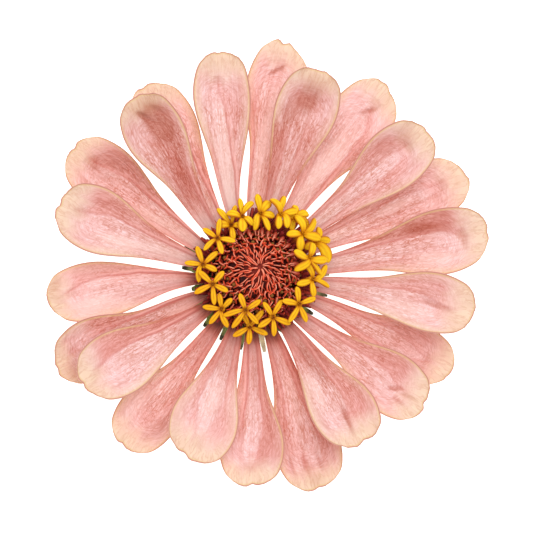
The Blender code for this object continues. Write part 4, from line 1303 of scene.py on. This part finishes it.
def make_outer_chaff(material):
    """Upright ragged chaff among and outside the open florets' tubes."""
    rng = np.random.default_rng(RING_SEED)
    heap = Heap()
    for ring in CHAFF_RINGS:
        for k in range(ring.count):
            azimuth = 360.0 * (k + rng.uniform(-0.4, 0.4)) / ring.count
            s = np.linspace(0.0, 1.0, 8)
            northern = math.cos(math.radians(azimuth - 40.0))
            end = ring.high_radius + 0.8 * northern - 0.4 + rng.uniform(-0.5, 0.4)
            top = ring.high + rng.uniform(-0.7, 0.5)
            radius = ring.low_radius + (end - ring.low_radius) * s ** 1.6
            height = ring.low + (top - ring.low) * (1.3 * s - 0.3 * s * s)
            twist = azimuth + rng.uniform(-4.0, 4.0) * s
            path = direction(twist) * radius[:, None] + UP * height[:, None]
            ragged = 1.0 + 0.35 * rng.uniform(-1.0, 1.0, len(s)) * rise(s, 0.4, 0.4)
            width = ring.half_width * (1.0 - 0.6 * s ** 3) * ragged
            # Painted shade on the chaff's flanks, deeper in the outer rings under the florets
            dark = np.clip(0.8 * ring.dark + rng.uniform(-0.3, 0.15), 0.0, 1.0)
            side = direction(azimuth + 90.0 + rng.uniform(-25.0, 25.0))
            ridge, maroon = rng.uniform(0.1, 0.8), rng.uniform(0.2, 0.8)
            add_folded(heap, path, side, width, 0.2, ridge, maroon=maroon, dark=dark)
    add_piece("chaff_ring", heap, material)


# Bracts and receptacle

def add_bract(heap, path, extra, azimuth, outline, seed, rim, pale=0.0):
    """Adds a bract that follows a (radius, height) path at an azimuth, with its dark rim."""
    t = np.linspace(0.0, 1.0, BRACT_ROWS)[:, None] + np.zeros((1, BRACT_COLUMNS))
    v = np.linspace(-1.0, 1.0, BRACT_COLUMNS)[None, :] + np.zeros((BRACT_ROWS, 1))
    r, z = path_at(path, t)
    r = r + extra * t ** 3
    teeth = 0.25 * noise_along(v * 4.0, seed) * rise(t, 0.85, 0.15)
    half_width = smooth_through(outline, t) * (1.0 + teeth)
    out = direction(azimuth + np.degrees(v * half_width / r))
    middle = out * r[..., None] + UP * z[..., None]
    thinning = 0.35 + 0.65 * ease((1.0 - np.abs(v)) * 3.0) * ease((1.0 - t) * 8.0)
    nerve = 0.5 * bump_at(v, 0.12) + 0.3 * bump_at(np.abs(v) - 0.45, 0.1)
    sides = rim.share * rise(np.abs(v), rim.side, rim.side_run) * rise(t, rim.start, 0.2)
    dark = np.clip(rise(t, rim.end, 0.08) + sides, 0.0, rim.most) * (1.0 - 0.6 * pale)
    half = 0.5 * BRACT_THICKNESS * thinning
    pale = pale * rise(t, 0.6, 0.15)
    heap.add_shell(middle, grid_normals(middle), half, nerve=nerve, pale=pale, dark=dark)


def make_bract(index, material):
    bract = BRACTS[index]
    path = INNER_BRACT_PATH if index % 2 == 0 else OUTER_BRACT_PATH
    heap = Heap()
    add_bract(heap, path, bract.extra, bract.azimuth, BRACT_OUTLINE, index, UPPER_RIM, bract.pale)
    name = f"bract_{index + 1:02d}"
    add_piece(f"phyllary_{index + 1:02d}", heap, material, [name])


def make_low_bracts(material):
    """The lower rows of the cup: short broad bracts with a dark rim, from the stem's top."""
    heap = Heap()
    for number, row in enumerate(LOW_BRACT_ROWS):
        for k in range(row.count):
            azimuth = row.first + 360.0 * k / row.count
            seed = 40 + k + 20 * number
            add_bract(heap, row.path, 0.0, azimuth, LOW_BRACT_OUTLINE, seed, LOW_RIM)
    add_piece("phyllary_low", heap, material)


def make_receptacle(material):
    """The head's fleshy body and its stub of stem, ribbed lengthwise."""
    rows, columns = 90, 120
    s = np.linspace(0.0, 1.0, rows)
    knots = np.linspace(0.0, 1.0, len(RECEPTACLE_SECTION))
    r, z = (np.interp(s, knots, values) for values in zip(*RECEPTACLE_SECTION))
    azimuth = 360.0 * np.arange(columns) / columns
    ribs = STEM_RIB_HEIGHT * np.cos(np.radians(azimuth * STEM_RIBS))
    radius = r[:, None] - (STEM_RIB_HEIGHT - ribs[None, :]) * (r > 1.0)[:, None]
    points, faces = turned(np.maximum(radius, 0.0), z)
    heap = Heap()
    heap.add(points, faces, nerve=np.tile(0.5 * ease(0.5 + 6.0 * ribs), rows))
    add_piece("stem_and_head", heap, material, ["receptacle"])


# Floor, light and camera

def make_floor():
    half = 0.5 * FLOOR_SIZE
    corners = [(-half, -half, 0.0), (half, -half, 0.0), (half, half, 0.0), (-half, half, 0.0)]
    mesh = bpy.data.meshes.new("floor")
    mesh.from_pydata(corners, [], [(0, 1, 2, 3)])
    mesh.materials.append(floor_material())
    floor = bpy.data.objects.new("floor", mesh)
    bpy.context.scene.collection.objects.link(floor)


def make_light():
    world = bpy.data.worlds.new("studio")
    bpy.context.scene.world = world
    world.use_nodes = True
    background = world.node_tree.nodes["Background"]
    background.inputs["Color"].default_value = (1.0, 1.0, 1.0, 1.0)
    background.inputs["Strength"].default_value = WORLD_STRENGTH
    light = bpy.data.lights.new("key_softbox", "AREA")
    light.energy = KEY_POWER
    light.size = KEY_SIZE
    key = bpy.data.objects.new("key_softbox", light)
    key.location = KEY_PLACE
    key.rotation_euler = (-Vector(KEY_PLACE)).to_track_quat("-Z", "Y").to_euler()
    bpy.context.scene.collection.objects.link(key)
    bpy.context.scene.view_settings.view_transform = "Standard"


def make_camera():
    """The camera at the photograph's viewing angle, its picture's top towards +Y."""
    lean = math.radians(VIEW_LEAN)
    back = direction(VIEW_BEARING) * math.sin(lean) + UP * math.cos(lean)
    right = unit(np.cross(np.array([0.0, 1.0, 0.0]), back))
    up = np.cross(back, right)
    data = bpy.data.cameras.new("camera")
    data.sensor_width = SENSOR_WIDTH
    data.lens = SENSOR_WIDTH * VIEW_DISTANCE / VIEW_WIDTH
    data.clip_start, data.clip_end = 0.05, 20.0
    camera = bpy.data.objects.new("camera", data)
    place = (VIEW_TARGET + AXIS + back * VIEW_DISTANCE) * MM
    turned_to = Matrix(np.stack([right, up, back], 1).tolist()).to_4x4()
    camera.matrix_world = Matrix.Translation(place.tolist()) @ turned_to
    bpy.context.scene.collection.objects.link(camera)
    bpy.context.scene.camera = camera


make_camera()
make_light()
make_floor()
petal = petal_material()
for number in range(len(RAYS)):
    make_ray(number, petal)
golden = lobe_material()
for number in range(len(FLORETS)):
    make_floret(number, golden)
chaff = scale_material()
make_core(chaff)
make_tips(chaff)
make_outer_chaff(chaff)
green = green_material()
for number in range(len(BRACTS)):
    make_bract(number, green)
make_low_bracts(green)
make_receptacle(green)
